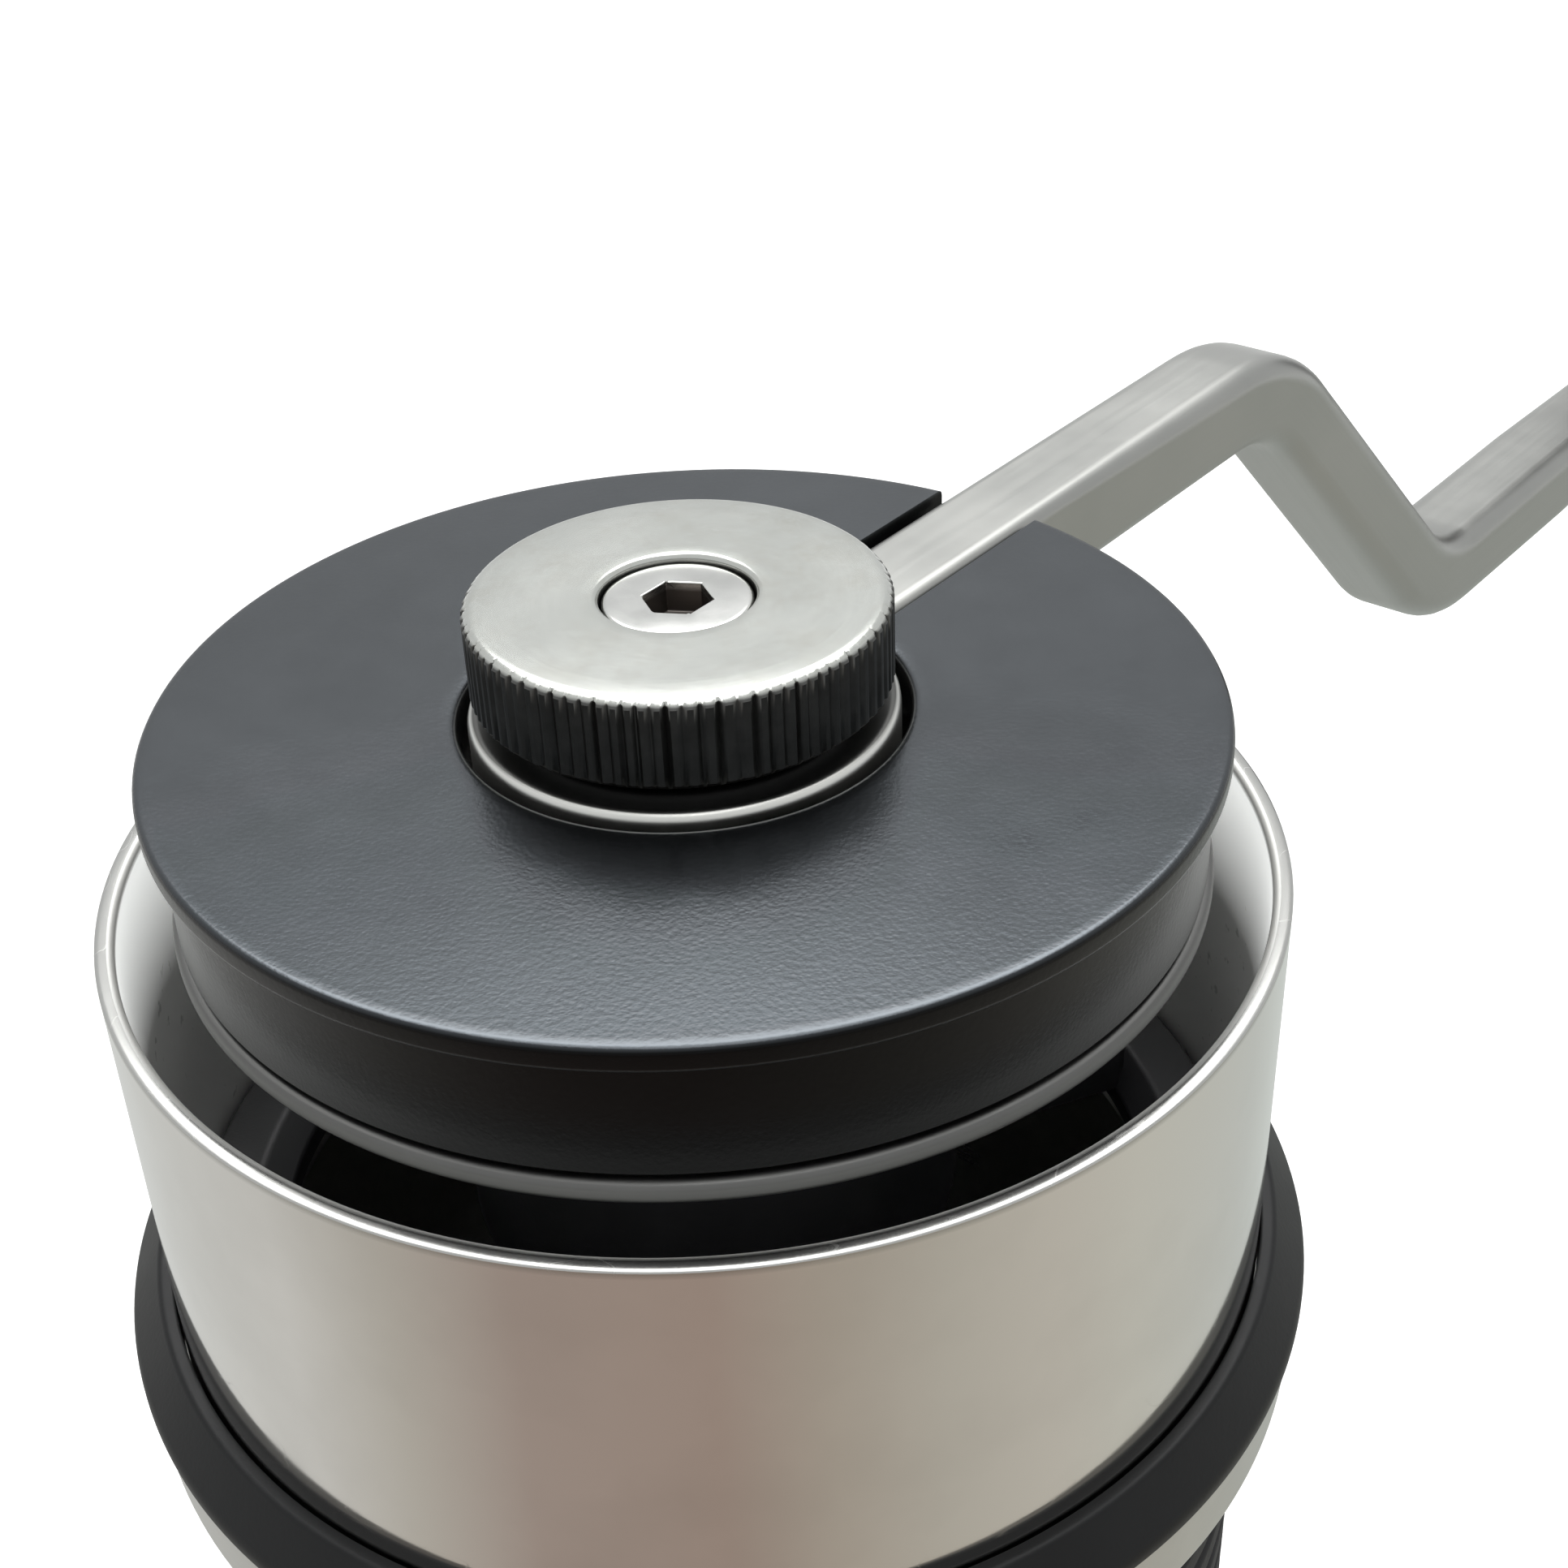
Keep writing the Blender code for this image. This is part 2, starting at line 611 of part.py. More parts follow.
def arm_size(x):
    """The bar's width, height and edge radius at a distance from the axis."""
    for near, far in zip(ARM_SIZES, ARM_SIZES[1:]):
        if x <= far[0]:
            share = (x - near[0]) / (far[0] - near[0])
            return [a + share * (b - a) for a, b in zip(near[1:], far[1:])]
    return ARM_SIZES[-1][1:]


def arm_section(x, steps=2):
    """The bar's section with round edges, as (across, up) points."""
    width, height, edge = arm_size(x)
    points = []
    for corner, (across, up) in enumerate(((1, 1), (-1, 1), (-1, -1), (1, -1))):
        for k in range(steps + 1):
            turn = math.radians(90 * corner + 90 * k / steps)
            points.append((across * (width / 2 - edge) + edge * math.cos(turn),
                           up * (height / 2 - edge) + edge * math.sin(turn)))
    return points


def hub_bore_mesh():
    """The cutter of the hub's bore, which has the shaft's two flats."""
    flat = SHAFT_FLAT + GAP / 2
    bore = turned_mesh(disc_profile(SHAFT_RADIUS + GAP, HUB_BOTTOM - 4, HUB_TOP + 4), 2 * SMALL_ROUND)
    for v in bore.verts:
        v.co.x = max(-flat, min(flat, v.co.x))
    return bore


def crank_arm(body):
    """Bar stepped down between its two level runs, with a round hub and a round eye."""
    route = arm_route()
    bm = bmesh.new()
    rings = []
    for k, place in enumerate(route):
        before = route[max(k - 1, 0)]
        after = route[min(k + 1, len(route) - 1)]
        along = (after - before).normalized()
        rings.append([
            bm.verts.new((place.x - along.y * up, across, place.y + along.x * up))
            for across, up in arm_section(place.x)
        ])
    for a, b in zip(rings, rings[1:]):
        for i in range(len(a)):
            j = (i + 1) % len(a)
            bm.faces.new((a[i], a[j], b[j], b[i]))
    bm.faces.new(rings[0])
    bm.faces.new(rings[-1][::-1])
    arm = finished("crank_arm", bm, STEEL_SATIN, body)
    join(arm, turned_mesh(disc_profile(HUB_RADIUS, HUB_BOTTOM, HUB_TOP, 0.5), LARGE_ROUND))
    eye_bottom, eye_top = EYE_MIDDLE - EYE_HEIGHT / 2, EYE_MIDDLE + EYE_HEIGHT / 2
    eye = disc_profile(EYE_RADIUS, eye_bottom, eye_top, 0.6)
    join(arm, turned_mesh(eye, MEDIUM_ROUND, (CRANK_RADIUS, 0.0)))
    cut(arm, hub_bore_mesh())
    hole = disc_profile(SPINDLE_RADIUS + GAP, eye_bottom - 4, eye_top + 4)
    cut(arm, turned_mesh(hole, SMALL_ROUND, (CRANK_RADIUS, 0.0)))


def thumb_nut(body):
    """Round knurled nut with a recess for its screw."""
    outline = [
        (NUT_HOLE, NUT_BOTTOM), (NUT_RADIUS - 0.4, NUT_BOTTOM), (NUT_RADIUS, NUT_BOTTOM + 0.4),
        (NUT_RADIUS, NUT_TOP - 0.5), (NUT_RADIUS - 0.5, NUT_TOP), (NUT_RECESS + 0.2, NUT_TOP),
        (NUT_RECESS, NUT_TOP - 0.2), (NUT_RECESS, NUT_BOTTOM + NUT_FLOOR),
        (NUT_HOLE, NUT_BOTTOM + NUT_FLOOR),
    ]
    turned("thumb_nut", outline, STEEL_SATIN, body, LARGE_ROUND)


def nut_washer(body):
    outline = ring_profile(NUT_HOLE + GAP, WASHER_RADIUS, HUB_TOP + 0.25, NUT_BOTTOM - GAP)
    turned("nut_washer", outline, STEEL_DARK, body, 16)


def crank_screw(body):
    seat = NUT_BOTTOM + NUT_FLOOR + GAP
    height = NUT_TOP - 0.35 - seat
    head = (NUT_RECESS - GAP, height)
    cap_screw("crank_screw", body, (0.0, 0.0), seat, head, 3.1, 1.9, LID_TOP - 11.0)


def toothed_ring(radius, depth, teeth, height, twist):
    """Points round one level of a burr: teeth that stand out from their roots."""
    points = []
    for k in range(2 * teeth):
        turn = math.pi * k / teeth + twist
        reach = radius if k % 2 == 0 else radius - depth
        points.append((reach * math.cos(turn), reach * math.sin(turn), height))
    return points


def loft(levels, closed):
    """Joins equal rings of points; the ends are capped, or the last ring meets the first."""
    bm = bmesh.new()
    rings = [[bm.verts.new(point) for point in level] for level in levels]
    pairs = list(zip(rings, rings[1:]))
    if closed:
        pairs.append((rings[-1], rings[0]))
    for a, b in pairs:
        for i in range(len(a)):
            j = (i + 1) % len(a)
            bm.faces.new((a[i], a[j], b[j], b[i]))
    if not closed:
        bm.faces.new(rings[0])
        bm.faces.new(rings[-1])
    return bm


def inner_burr(body):
    """Steel cone with spiral teeth, coarse at the top and fine at the bottom."""
    levels = []
    teeth = 14
    for k in range(6):
        along = k / 5
        height = INNER_BURR_TOP - 1 + along * (INNER_BURR_BOTTOM + 1 - INNER_BURR_TOP)
        radius = 9.0 + 11.0 * along ** 0.9
        depth = 2.4 - 1.9 * along
        levels.append(toothed_ring(radius, depth, teeth, height, 0.9 * along))
    levels.insert(0, toothed_ring(7.2, 0.8, teeth, INNER_BURR_TOP, -0.03))
    levels.append(toothed_ring(19.4, 0.3, teeth, INNER_BURR_BOTTOM, 0.9))
    burr = finished("inner_burr", loft(levels, False), BURR_STEEL, body)
    cut(burr, turned_mesh(disc_profile(SHAFT_RADIUS + GAP, 60.0, 86.0), SMALL_ROUND))


def burr_bolt(body):
    """Hexagon bolt that holds the inner burr on the shaft's lower end."""
    outline = [
        (0, BOLT_HEAD_TOP - 0.3), (BOLT_RADIUS, BOLT_HEAD_TOP - 0.3), (BOLT_RADIUS, BOLT_TIP - 0.3),
        (BOLT_RADIUS - 0.3, BOLT_TIP), (0, BOLT_TIP),
    ]
    bolt = turned("burr_bolt", outline, STEEL_SATIN, body, SMALL_ROUND)
    join(bolt, hex_socket_mesh((0, 0), 9.0, BOLT_HEAD_BOTTOM, BOLT_HEAD_TOP))


def burr_washer(body):
    outline = ring_profile(BOLT_RADIUS + GAP, 8.0, BOLT_HEAD_TOP + GAP, INNER_BURR_BOTTOM - GAP)
    turned("burr_washer", outline, STEEL_SATIN, body, 16)


def knob_spindle(body):
    """Shoulder pin through the arm's eye, with its head below the arm."""
    top = EYE_MIDDLE - EYE_HEIGHT / 2 - GAP
    bottom = top - 2.7
    outline = [
        (0, bottom), (SPINDLE_HEAD - 0.6, bottom), (SPINDLE_HEAD, bottom + 0.6), (SPINDLE_HEAD, top),
        (SPINDLE_RADIUS, top), (SPINDLE_RADIUS, SPINDLE_TOP - 0.3),
        (SPINDLE_RADIUS - 0.3, SPINDLE_TOP), (0, SPINDLE_TOP),
    ]
    turned("knob_spindle", outline, STEEL_SATIN, body, SMALL_ROUND)


def knob_washer(body):
    bottom = EYE_MIDDLE + EYE_HEIGHT / 2 + GAP
    outline = ring_profile(SPINDLE_RADIUS + GAP, 6.0, bottom, KNOB_BOTTOM - GAP)
    turned("knob_washer", outline, BRASS, body, SMALL_ROUND)


def knob_lock_nut(body):
    """Six-sided lock nut on the spindle, in the pocket under the knob's cap."""
    hexagon = hex_socket_mesh((0, 0), 9.0, LOCK_NUT_BOTTOM, LOCK_NUT_TOP)
    nut = finished("knob_lock_nut", hexagon, STEEL_SATIN, body)
    bore = disc_profile(SPINDLE_RADIUS + GAP, LOCK_NUT_BOTTOM - 1, LOCK_NUT_TOP + 1)
    cut(nut, turned_mesh(bore, SMALL_ROUND))


# ---------------------------------------------------------------- lid


def lid_slot_mesh():
    """The cutter of the slot that lets the lid pass over the crank arm."""
    half = SLOT_WIDTH / 2
    return box_mesh((SLOT_START, -half, LID_RING_BOTTOM - 5), (LID_RADIUS + 5, half, LID_TOP + 5))


def lid(body):
    """Black lid: a disc that overhangs its skirt, with a boss round its centre hole."""
    plate = LID_TOP - LID_PLATE
    edge = LID_TOP - LID_EDGE
    inner = LID_SKIRT_RADIUS - LID_SKIRT_WALL
    boss = LID_HOLE_RADIUS + 2.0
    outline = [
        (LID_HOLE_RADIUS, LID_BOSS_BOTTOM), (boss, LID_BOSS_BOTTOM), (boss, plate), (inner, plate),
        (inner, LID_SKIRT_BOTTOM), (LID_SKIRT_RADIUS, LID_SKIRT_BOTTOM), (LID_SKIRT_RADIUS, edge),
        (LID_RADIUS - 0.3, edge), (LID_RADIUS, edge + 0.3),
    ]
    outline += arc(LID_RADIUS - 0.5, LID_TOP - 0.5, 0.5, 0, 90, 3)
    outline += arc(LID_HOLE_RADIUS + 0.4, LID_TOP - 0.4, 0.4, 90, 180, 1)
    cut(turned("lid", outline, BLACK_LID, body, LARGE_ROUND), lid_slot_mesh())


def lid_ring(body):
    """Steel ring at the foot of the lid's skirt, open at the slot."""
    inner = LID_SKIRT_RADIUS - LID_SKIRT_WALL
    outer = LID_SKIRT_RADIUS + 0.3
    outline = ring_profile(inner, outer, LID_RING_BOTTOM, LID_RING_TOP, 0.3)
    cut(turned("lid_ring", outline, STEEL_POLISHED, body, LARGE_ROUND), lid_slot_mesh())


# ---------------------------------------------------------------- knob


def knob_grip(body):
    """Turned grip, waisted at the foot and full at the top, with a bore and a pocket."""
    foot = KNOB_BOTTOM + 0.8
    outline = [(KNOB_BORE, KNOB_BOTTOM), (KNOB_WAIST - 0.8, KNOB_BOTTOM), (KNOB_WAIST, foot)]
    steps = 8
    for k in range(1, steps + 1):
        along = k / steps
        swell = math.sin(math.pi * (along ** 1.25) * 0.80) * (0.55 + 0.45 * along)
        height = foot + (KNOB_SHOULDER - foot) * along
        outline.append((KNOB_WAIST + KNOB_SWELL * swell, height))
    full = outline[-1][0]
    rim = CAP_RADIUS + GAP
    outline += [
        (full - 0.8, KNOB_TOP - 3.2), (full - 2.0, KNOB_TOP - 1.6), (rim, KNOB_TOP - 0.6),
        (rim, CAP_BOTTOM - GAP), (POCKET_RADIUS, CAP_BOTTOM - GAP), (POCKET_RADIUS, POCKET_FLOOR),
        (KNOB_BORE, POCKET_FLOOR),
    ]
    turned("knob_grip", outline, BLACK_KNOB, body, MEDIUM_ROUND)


def knob_bushes(body):
    """Flanged bushes at the two ends of the grip's bore."""
    inner = SPINDLE_RADIUS + GAP / 2
    outer = KNOB_BORE - GAP
    outline = ring_profile(inner, outer, KNOB_BOTTOM + 0.1, KNOB_BOTTOM + 8.0)
    turned("knob_bush_lower", outline, BRASS, body, SMALL_ROUND)
    flange = POCKET_FLOOR + GAP
    outline = [
        (inner, POCKET_FLOOR - 7.0), (outer, POCKET_FLOOR - 7.0), (outer, flange),
        (POCKET_RADIUS - 0.4, flange), (POCKET_RADIUS - 0.4, flange + 1.0), (inner, flange + 1.0),
    ]
    turned("knob_bush_upper", outline, BRASS, body, SMALL_ROUND)


def knob_cap(body):
    """Shallow domed cap that closes the pocket."""
    outline = [
        (0, CAP_BOTTOM), (CAP_RADIUS, CAP_BOTTOM), (CAP_RADIUS, KNOB_TOP - 0.8),
        (CAP_RADIUS - 0.8, KNOB_TOP - 0.3), (CAP_RADIUS / 2, KNOB_TOP), (0, KNOB_TOP),
    ]
    turned("knob_cap", outline, STEEL_SATIN, body, MEDIUM_ROUND)


# ---------------------------------------------------------------- adjustment


def adjustment_dial(body):
    """Ring that turns on the body's neck and whose thread moves the burr carrier."""
    neck = BODY_NECK_RADIUS + GAP
    outline = [
        (BODY_BORE, DIAL_BOTTOM), (DIAL_RADIUS - 0.5, DIAL_BOTTOM), (DIAL_RADIUS, DIAL_BOTTOM + 0.5),
        (DIAL_RADIUS, DIAL_BAND_TOP), (DIAL_RADIUS - 0.4, DIAL_BAND_TOP + 0.4),
        (DIAL_RADIUS - 1.2, DIAL_TOP - 0.4), (neck + GAP, DIAL_TOP), (neck + GAP, DIAL_STEP),
        (neck + 0.9, DIAL_STEP), (neck + 0.9, DIAL_CLIP_SEAT), (neck, DIAL_CLIP_SEAT),
        (neck, DIAL_THREAD_TOP), (BODY_BORE, DIAL_THREAD_TOP),
    ]
    turned("adjustment_dial", outline, STEEL_SATIN, body, LARGE_ROUND)


def burr_carrier(body):
    """Tube that holds the outer burr, with a flange for the cup and slots for the key pins."""
    seat = OUTER_BURR_RADIUS + GAP
    floor = OUTER_BURR_BOTTOM - GAP
    outline = [
        (CARRIER_BORE, CARRIER_BOTTOM), (CARRIER_SPIGOT, CARRIER_BOTTOM),
        (CARRIER_SPIGOT, CARRIER_FLANGE_BOTTOM), (CUP_RADIUS, CARRIER_FLANGE_BOTTOM),
        (CUP_RADIUS, CARRIER_FLANGE_TOP - 0.3), (CUP_RADIUS - 0.3, CARRIER_FLANGE_TOP),
        (CARRIER_TUBE_RADIUS, CARRIER_FLANGE_TOP), (CARRIER_TUBE_RADIUS, CARRIER_TOP),
        (seat, CARRIER_TOP), (seat, floor), (CARRIER_BORE, floor),
    ]
    carrier = turned("burr_carrier", outline, STEEL_SATIN, body, LARGE_ROUND)
    half = KEY_RADIUS + 0.4
    for degrees in SCREW_ANGLES:
        slot = box_mesh((23.0, -half, KEY_SLOT_BOTTOM), (26.0, half, CARRIER_TOP + 1))
        cut(carrier, turn_about_z(slot, degrees))
    for place in magnet_places():
        pocket = disc_profile(MAGNET_RADIUS + 0.35, CARRIER_FLANGE_BOTTOM - 1, MAGNET_TOP + GAP)
        cut(carrier, turned_mesh(pocket, 10, place))


def magnet_places():
    turns = [math.radians(45 + 90 * k) for k in range(4)]
    return [(MAGNET_CIRCLE * math.cos(turn), MAGNET_CIRCLE * math.sin(turn)) for turn in turns]


def cup_magnets(body):
    for number, place in enumerate(magnet_places(), 1):
        profile = disc_profile(MAGNET_RADIUS, MAGNET_BOTTOM, MAGNET_TOP)
        turned(f"cup_magnet_{number}", profile, MAGNET, body, 10, place)


def outer_burr(body):
    """Steel ring whose toothed bore is narrowest at its middle, round the inner burr."""
    teeth = 18
    bore = ((0.0, 21.0, 0.2), (1.7, 20.35, 0.4), (5.0, 18.4, 0.8), (8.5, 17.9, 1.4), (16.0, 21.0, 0.6))
    levels = []
    for rise, radius, depth in bore:
        height = OUTER_BURR_BOTTOM + rise
        levels.append(toothed_ring(radius + depth, depth, teeth, height, -0.02 * rise))
    for height in (OUTER_BURR_TOP, OUTER_BURR_BOTTOM):
        levels.append(toothed_ring(OUTER_BURR_RADIUS, 0, teeth, height, 0))
    finished("outer_burr", loft(levels, True), BURR_STEEL, body)


def burr_retaining_ring(body):
    outline = ring_profile(21.6, OUTER_BURR_RADIUS, OUTER_BURR_TOP + GAP, BURR_CLAMP_TOP)
    turned("burr_retaining_ring", outline, STEEL_DARK, body)


# ---------------------------------------------------------------- catch cup


def catch_cup(body):
    """Steel cup that takes the ground coffee, with a thickened rim."""
    inner = CUP_RADIUS - CUP_WALL
    recess = PAD_HEIGHT + GAP
    outline = [(0, recess), (PAD_RADIUS + GAP, recess), (PAD_RADIUS + GAP, CUP_FOOT)]
    outline += arc(CUP_RADIUS - CUP_CORNER, CUP_FOOT + CUP_CORNER, CUP_CORNER, -90, 0, 3)
    outline += [(CUP_RADIUS, CUP_RIM), (CUP_RIM_INNER, CUP_RIM), (CUP_RIM_INNER, CUP_RIM_FOOT)]
    outline += [(inner, CUP_RIM_FOOT - 1.7)]
    outline += arc(inner - CUP_CORNER, CUP_FLOOR + CUP_CORNER, CUP_CORNER, 0, -90, 2)
    outline += [(0, CUP_FLOOR)]
    turned("catch_cup", outline, STEEL_SATIN, body, LARGE_ROUND)


def cup_pad(body):
    outline = disc_profile(PAD_RADIUS, 0.0, PAD_HEIGHT)
    turned("cup_pad", outline, BLACK_RUBBER, body, LARGE_ROUND)


# ---------------------------------------------------------------- assembly


def build():
    clear_scene()
    housing = body_empty("housing")
    crank = body_empty("crank")
    cover = body_empty("lid")
    knob = body_empty("knob", CRANK_RADIUS)
    knob_pin = body_empty("knob_pin", CRANK_RADIUS)
    dial = body_empty("dial")
    carrier = body_empty("carrier")
    cup = body_empty("cup")

    for make in (hopper_shell, thumb_collar, main_body, grip_sleeve, hopper_bridge, bridge_screws,
                 lower_bridge, lower_bridge_screws, key_pins, dial_snap_ring, dial_o_ring):
        make(housing)
    for prefix, bottom in (("upper", UPPER_BEARING), ("lower", LOWER_BEARING)):
        bearing_races(prefix, bottom, housing, crank)
        bearing_balls(prefix, bottom, body_empty(prefix + "_balls"))
    for make in (drive_shaft, wave_washer, shaft_spacer, hub_collar, crank_arm, thumb_nut,
                 nut_washer, crank_screw, inner_burr, burr_bolt, burr_washer):
        make(crank)
    for make in (knob_spindle, knob_washer, knob_lock_nut):
        make(knob_pin)
    for make in (lid, lid_ring):
        make(cover)
    for make in (knob_grip, knob_bushes, knob_cap):
        make(knob)
    adjustment_dial(dial)
    for make in (burr_carrier, cup_magnets, outer_burr, burr_retaining_ring):
        make(carrier)
    for make in (catch_cup, cup_pad):
        make(cup)


build()
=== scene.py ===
"""Looks of the hand crank coffee grinder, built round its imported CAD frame.

Outlines are in millimetres, as (radius, height) points with the CAD's own heights, and
become metres when a mesh is made. The crank arm points along +X and the axis is Z.
"""

import math

import bmesh
import bpy
from mathutils import Matrix, Quaternion, Vector


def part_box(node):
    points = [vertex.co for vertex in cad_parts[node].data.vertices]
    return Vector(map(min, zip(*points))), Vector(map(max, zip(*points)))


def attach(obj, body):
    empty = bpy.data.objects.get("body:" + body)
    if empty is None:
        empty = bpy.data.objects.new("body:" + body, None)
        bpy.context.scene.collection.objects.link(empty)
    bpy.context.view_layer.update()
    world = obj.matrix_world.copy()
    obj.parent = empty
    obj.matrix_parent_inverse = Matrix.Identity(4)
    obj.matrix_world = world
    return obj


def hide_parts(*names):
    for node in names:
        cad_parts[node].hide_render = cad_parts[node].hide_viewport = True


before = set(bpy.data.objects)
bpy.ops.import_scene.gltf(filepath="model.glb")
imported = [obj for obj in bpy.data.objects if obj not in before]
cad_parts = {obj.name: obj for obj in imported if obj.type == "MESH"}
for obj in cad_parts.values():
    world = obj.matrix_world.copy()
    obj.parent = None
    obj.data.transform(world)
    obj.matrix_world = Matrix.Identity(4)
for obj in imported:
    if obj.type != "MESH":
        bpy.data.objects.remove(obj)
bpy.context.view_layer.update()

MM = 0.001
CAMERA_PLACE = Vector((-0.0719, -0.0664, 0.2365))
CAMERA_AIM = Vector((-0.0001, -0.0063, 0.1755))
CAMERA_ROLL = -2.45
CAMERA_LENS = 52.5


class Span:
    """The lowest and highest point and the outer radius of a CAD node, in millimetres."""

    def __init__(self, node, centre_x=0.0):
        low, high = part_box(node)
        self.low = low.z / MM
        self.high = high.z / MM
        self.radius = max(high.x / MM - centre_x, centre_x - low.x / MM)


LID = Span("lid")
RING = Span("lid_ring")
SHELL = Span("hopper_shell")
COLLAR = Span("thumb_collar")
BODY = Span("main_body")
SLEEVE = Span("grip_sleeve")
NUT = Span("thumb_nut")
SCREW = Span("crank_screw")
WASHER = Span("nut_washer")
HUB_COLLAR = Span("hub_collar")
SPACER = Span("shaft_spacer")
SHAFT = Span("drive_shaft")
DIAL = Span("adjustment_dial")
CARRIER = Span("burr_carrier")
CUP = Span("catch_cup")
PAD = Span("cup_pad")
UPPER_RACE = Span("upper_bearing_outer_race")
LOWER_RACE = Span("lower_bearing_outer_race")
KNOB_X = sum(corner.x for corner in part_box("knob_cap")) / 2 / MM
KNOB = Span("knob_grip", KNOB_X)
CAP = Span("knob_cap", KNOB_X)
SPINDLE = Span("knob_spindle", KNOB_X)

ARM_MIDDLE = LID.high - 3.0
ARM_BEND = 57.1
ARM_FALL = math.tan(math.radians(43.4))
ARM_DROP = 28.5
ARM_BEND_RADIUS = 14.0
# The bar at some distances from the axis: distance, width, height and edge radius
ARM_SIZES = ((6.0, 5.8, 5.8, 0.9), (30.0, 5.8, 5.8, 0.9), (57.0, 6.5, 6.0, 1.6),
             (88.0, 7.5, 6.8, 1.9), (112.0, 7.5, 6.8, 1.7), (150.0, 6.2, 5.8, 1.2))
HUB_RADIUS = 10.8
HUB_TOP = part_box("crank_arm")[1].z / MM
HUB_BOTTOM = HUB_TOP - 6.05
EYE_MIDDLE = 145.4

SLOT_HALF_WIDTH = 3.3
LID_HOLE = 11.3
LID_BOSS_LOW = 172.3
NUT_TEETH = 88
NUT_RECESS = 4.05
SHAFT_HOLE = 4.3
SHAFT_FLAT = 3.3
HUB_FLAT = 3.45
SPINDLE_HOLE = 3.3
EYE_RADIUS = 6.5
BUSH_HOLE = 3.15
BUSH_RADIUS = 5.3
SPOKE_ANGLES = (90.0, 210.0, 330.0)
SCREW_ANGLES = (30.0, 150.0, 270.0)
SCREW_CIRCLE = 26.95
LOWER_SCREW_HEIGHT = 96.0
KEY_PIN_HEIGHT = 81.9

# Added to a noise's place, because every size of its cells meets at zero, which shows as lines
OFF_LATTICE = (0.3713, 0.6117, 0.1937)
# How fast the turned marks repeat along a profile, per metre
LATHE_MARKS = 5200.0

# ---------------------------------------------------------------- material nodes


def add(tree, kind, inputs=None, **settings):
    """A shader node, its settings, and its inputs as values or as sockets to link."""
    node = tree.nodes.new("ShaderNode" + kind)
    for name, value in settings.items():
        setattr(node, name, value)
    for name, value in (inputs or {}).items():
        if isinstance(value, bpy.types.NodeSocket):
            tree.links.new(value, node.inputs[name])
        else:
            node.inputs[name].default_value = value
    return node


def maths(tree, operation, first, second=0.0):
    return add(tree, "Math", {0: first, 1: second}, operation=operation).outputs[0]


def noise(tree, vector, scale, detail=3.0, roughness=0.55):
    inputs = {"Vector": vector, "Scale": scale, "Detail": detail, "Roughness": roughness}
    return add(tree, "TexNoise", inputs).outputs["Fac"]


def spread(tree, value, low, high, to_low, to_high):
    """Maps a value from one range to another, held at its ends."""
    inputs = {0: value, 1: low, 2: high, 3: to_low, 4: to_high}
    return add(tree, "MapRange", inputs, clamp=True).outputs[0]


def mixed(tree, factor, first, second):
    node = add(tree, "Mix", data_type="RGBA")
    for index, value in ((0, factor), (6, first), (7, second)):
        if isinstance(value, bpy.types.NodeSocket):
            tree.links.new(value, node.inputs[index])
        else:
            node.inputs[index].default_value = value
    return node.outputs[2]


def combined(tree, x, y, z):
    return add(tree, "CombineXYZ", {0: x, 1: y, 2: z}).outputs[0]


def object_place(tree):
    return add(tree, "TexCoord").outputs["Object"]


def grain_place(tree):
    inputs = {0: object_place(tree), 1: OFF_LATTICE}
    return add(tree, "VectorMath", inputs, operation="ADD").outputs[0]


def axis_distance(tree):
    """The object's x, y and z, and the distance from its Z axis."""
    x, y, z = add(tree, "SeparateXYZ", {0: object_place(tree)}).outputs
    flat = maths(tree, "ADD", maths(tree, "MULTIPLY", x, x), maths(tree, "MULTIPLY", y, y))
    return x, y, z, maths(tree, "SQRT", flat)


def turned_place(tree, round_count, across_count):
    """Coordinates for lathe marks: slow round the axis, fast along the profile."""
    x, y, z, radius = axis_distance(tree)
    safe = maths(tree, "MAXIMUM", radius, 0.0002)
    cosine = maths(tree, "MULTIPLY", maths(tree, "DIVIDE", x, safe), round_count)
    sine = maths(tree, "MULTIPLY", maths(tree, "DIVIDE", y, safe), round_count)
    slant = maths(tree, "MULTIPLY", maths(tree, "ADD", radius, z), across_count)
    place = combined(tree, cosine, sine, slant)
    return add(tree, "VectorMath", {0: place, 1: OFF_LATTICE}, operation="ADD").outputs[0]


def new_material(name, metallic, specular=0.5):
    made = bpy.data.materials.new(name)
    made.use_nodes = True
    tree = made.node_tree
    shader = tree.nodes["Principled BSDF"]
    shader.inputs["Metallic"].default_value = metallic
    shader.inputs["Specular IOR Level"].default_value = specular
    return made, tree, shader


def connect(tree, shader, colour, roughness, height=None, distance=0.00002):
    """Links the colour, the roughness and a bump of a given depth in metres."""
    tree.links.new(colour, shader.inputs["Base Color"])
    tree.links.new(roughness, shader.inputs["Roughness"])
    if height is not None:
        bump = add(tree, "Bump", {"Height": height, "Distance": distance, "Strength": 1.0})
        tree.links.new(bump.outputs["Normal"], shader.inputs["Normal"])


def edge_wear(tree, low=0.52, high=0.62):
    """Near 1 on convex edges, where a finish is rubbed."""
    pointiness = add(tree, "NewGeometry").outputs["Pointiness"]
    return spread(tree, pointiness, low, high, 0.0, 1.0)


def scratches(tree, vector, scale, width=0.012):
    """Thin stray lines, as the near-zero set of a stretched noise."""
    field = noise(tree, vector, scale, 2.0, 0.4)
    away = maths(tree, "ABSOLUTE", maths(tree, "SUBTRACT", field, 0.5))
    return spread(tree, away, 0.0, width, 1.0, 0.0)


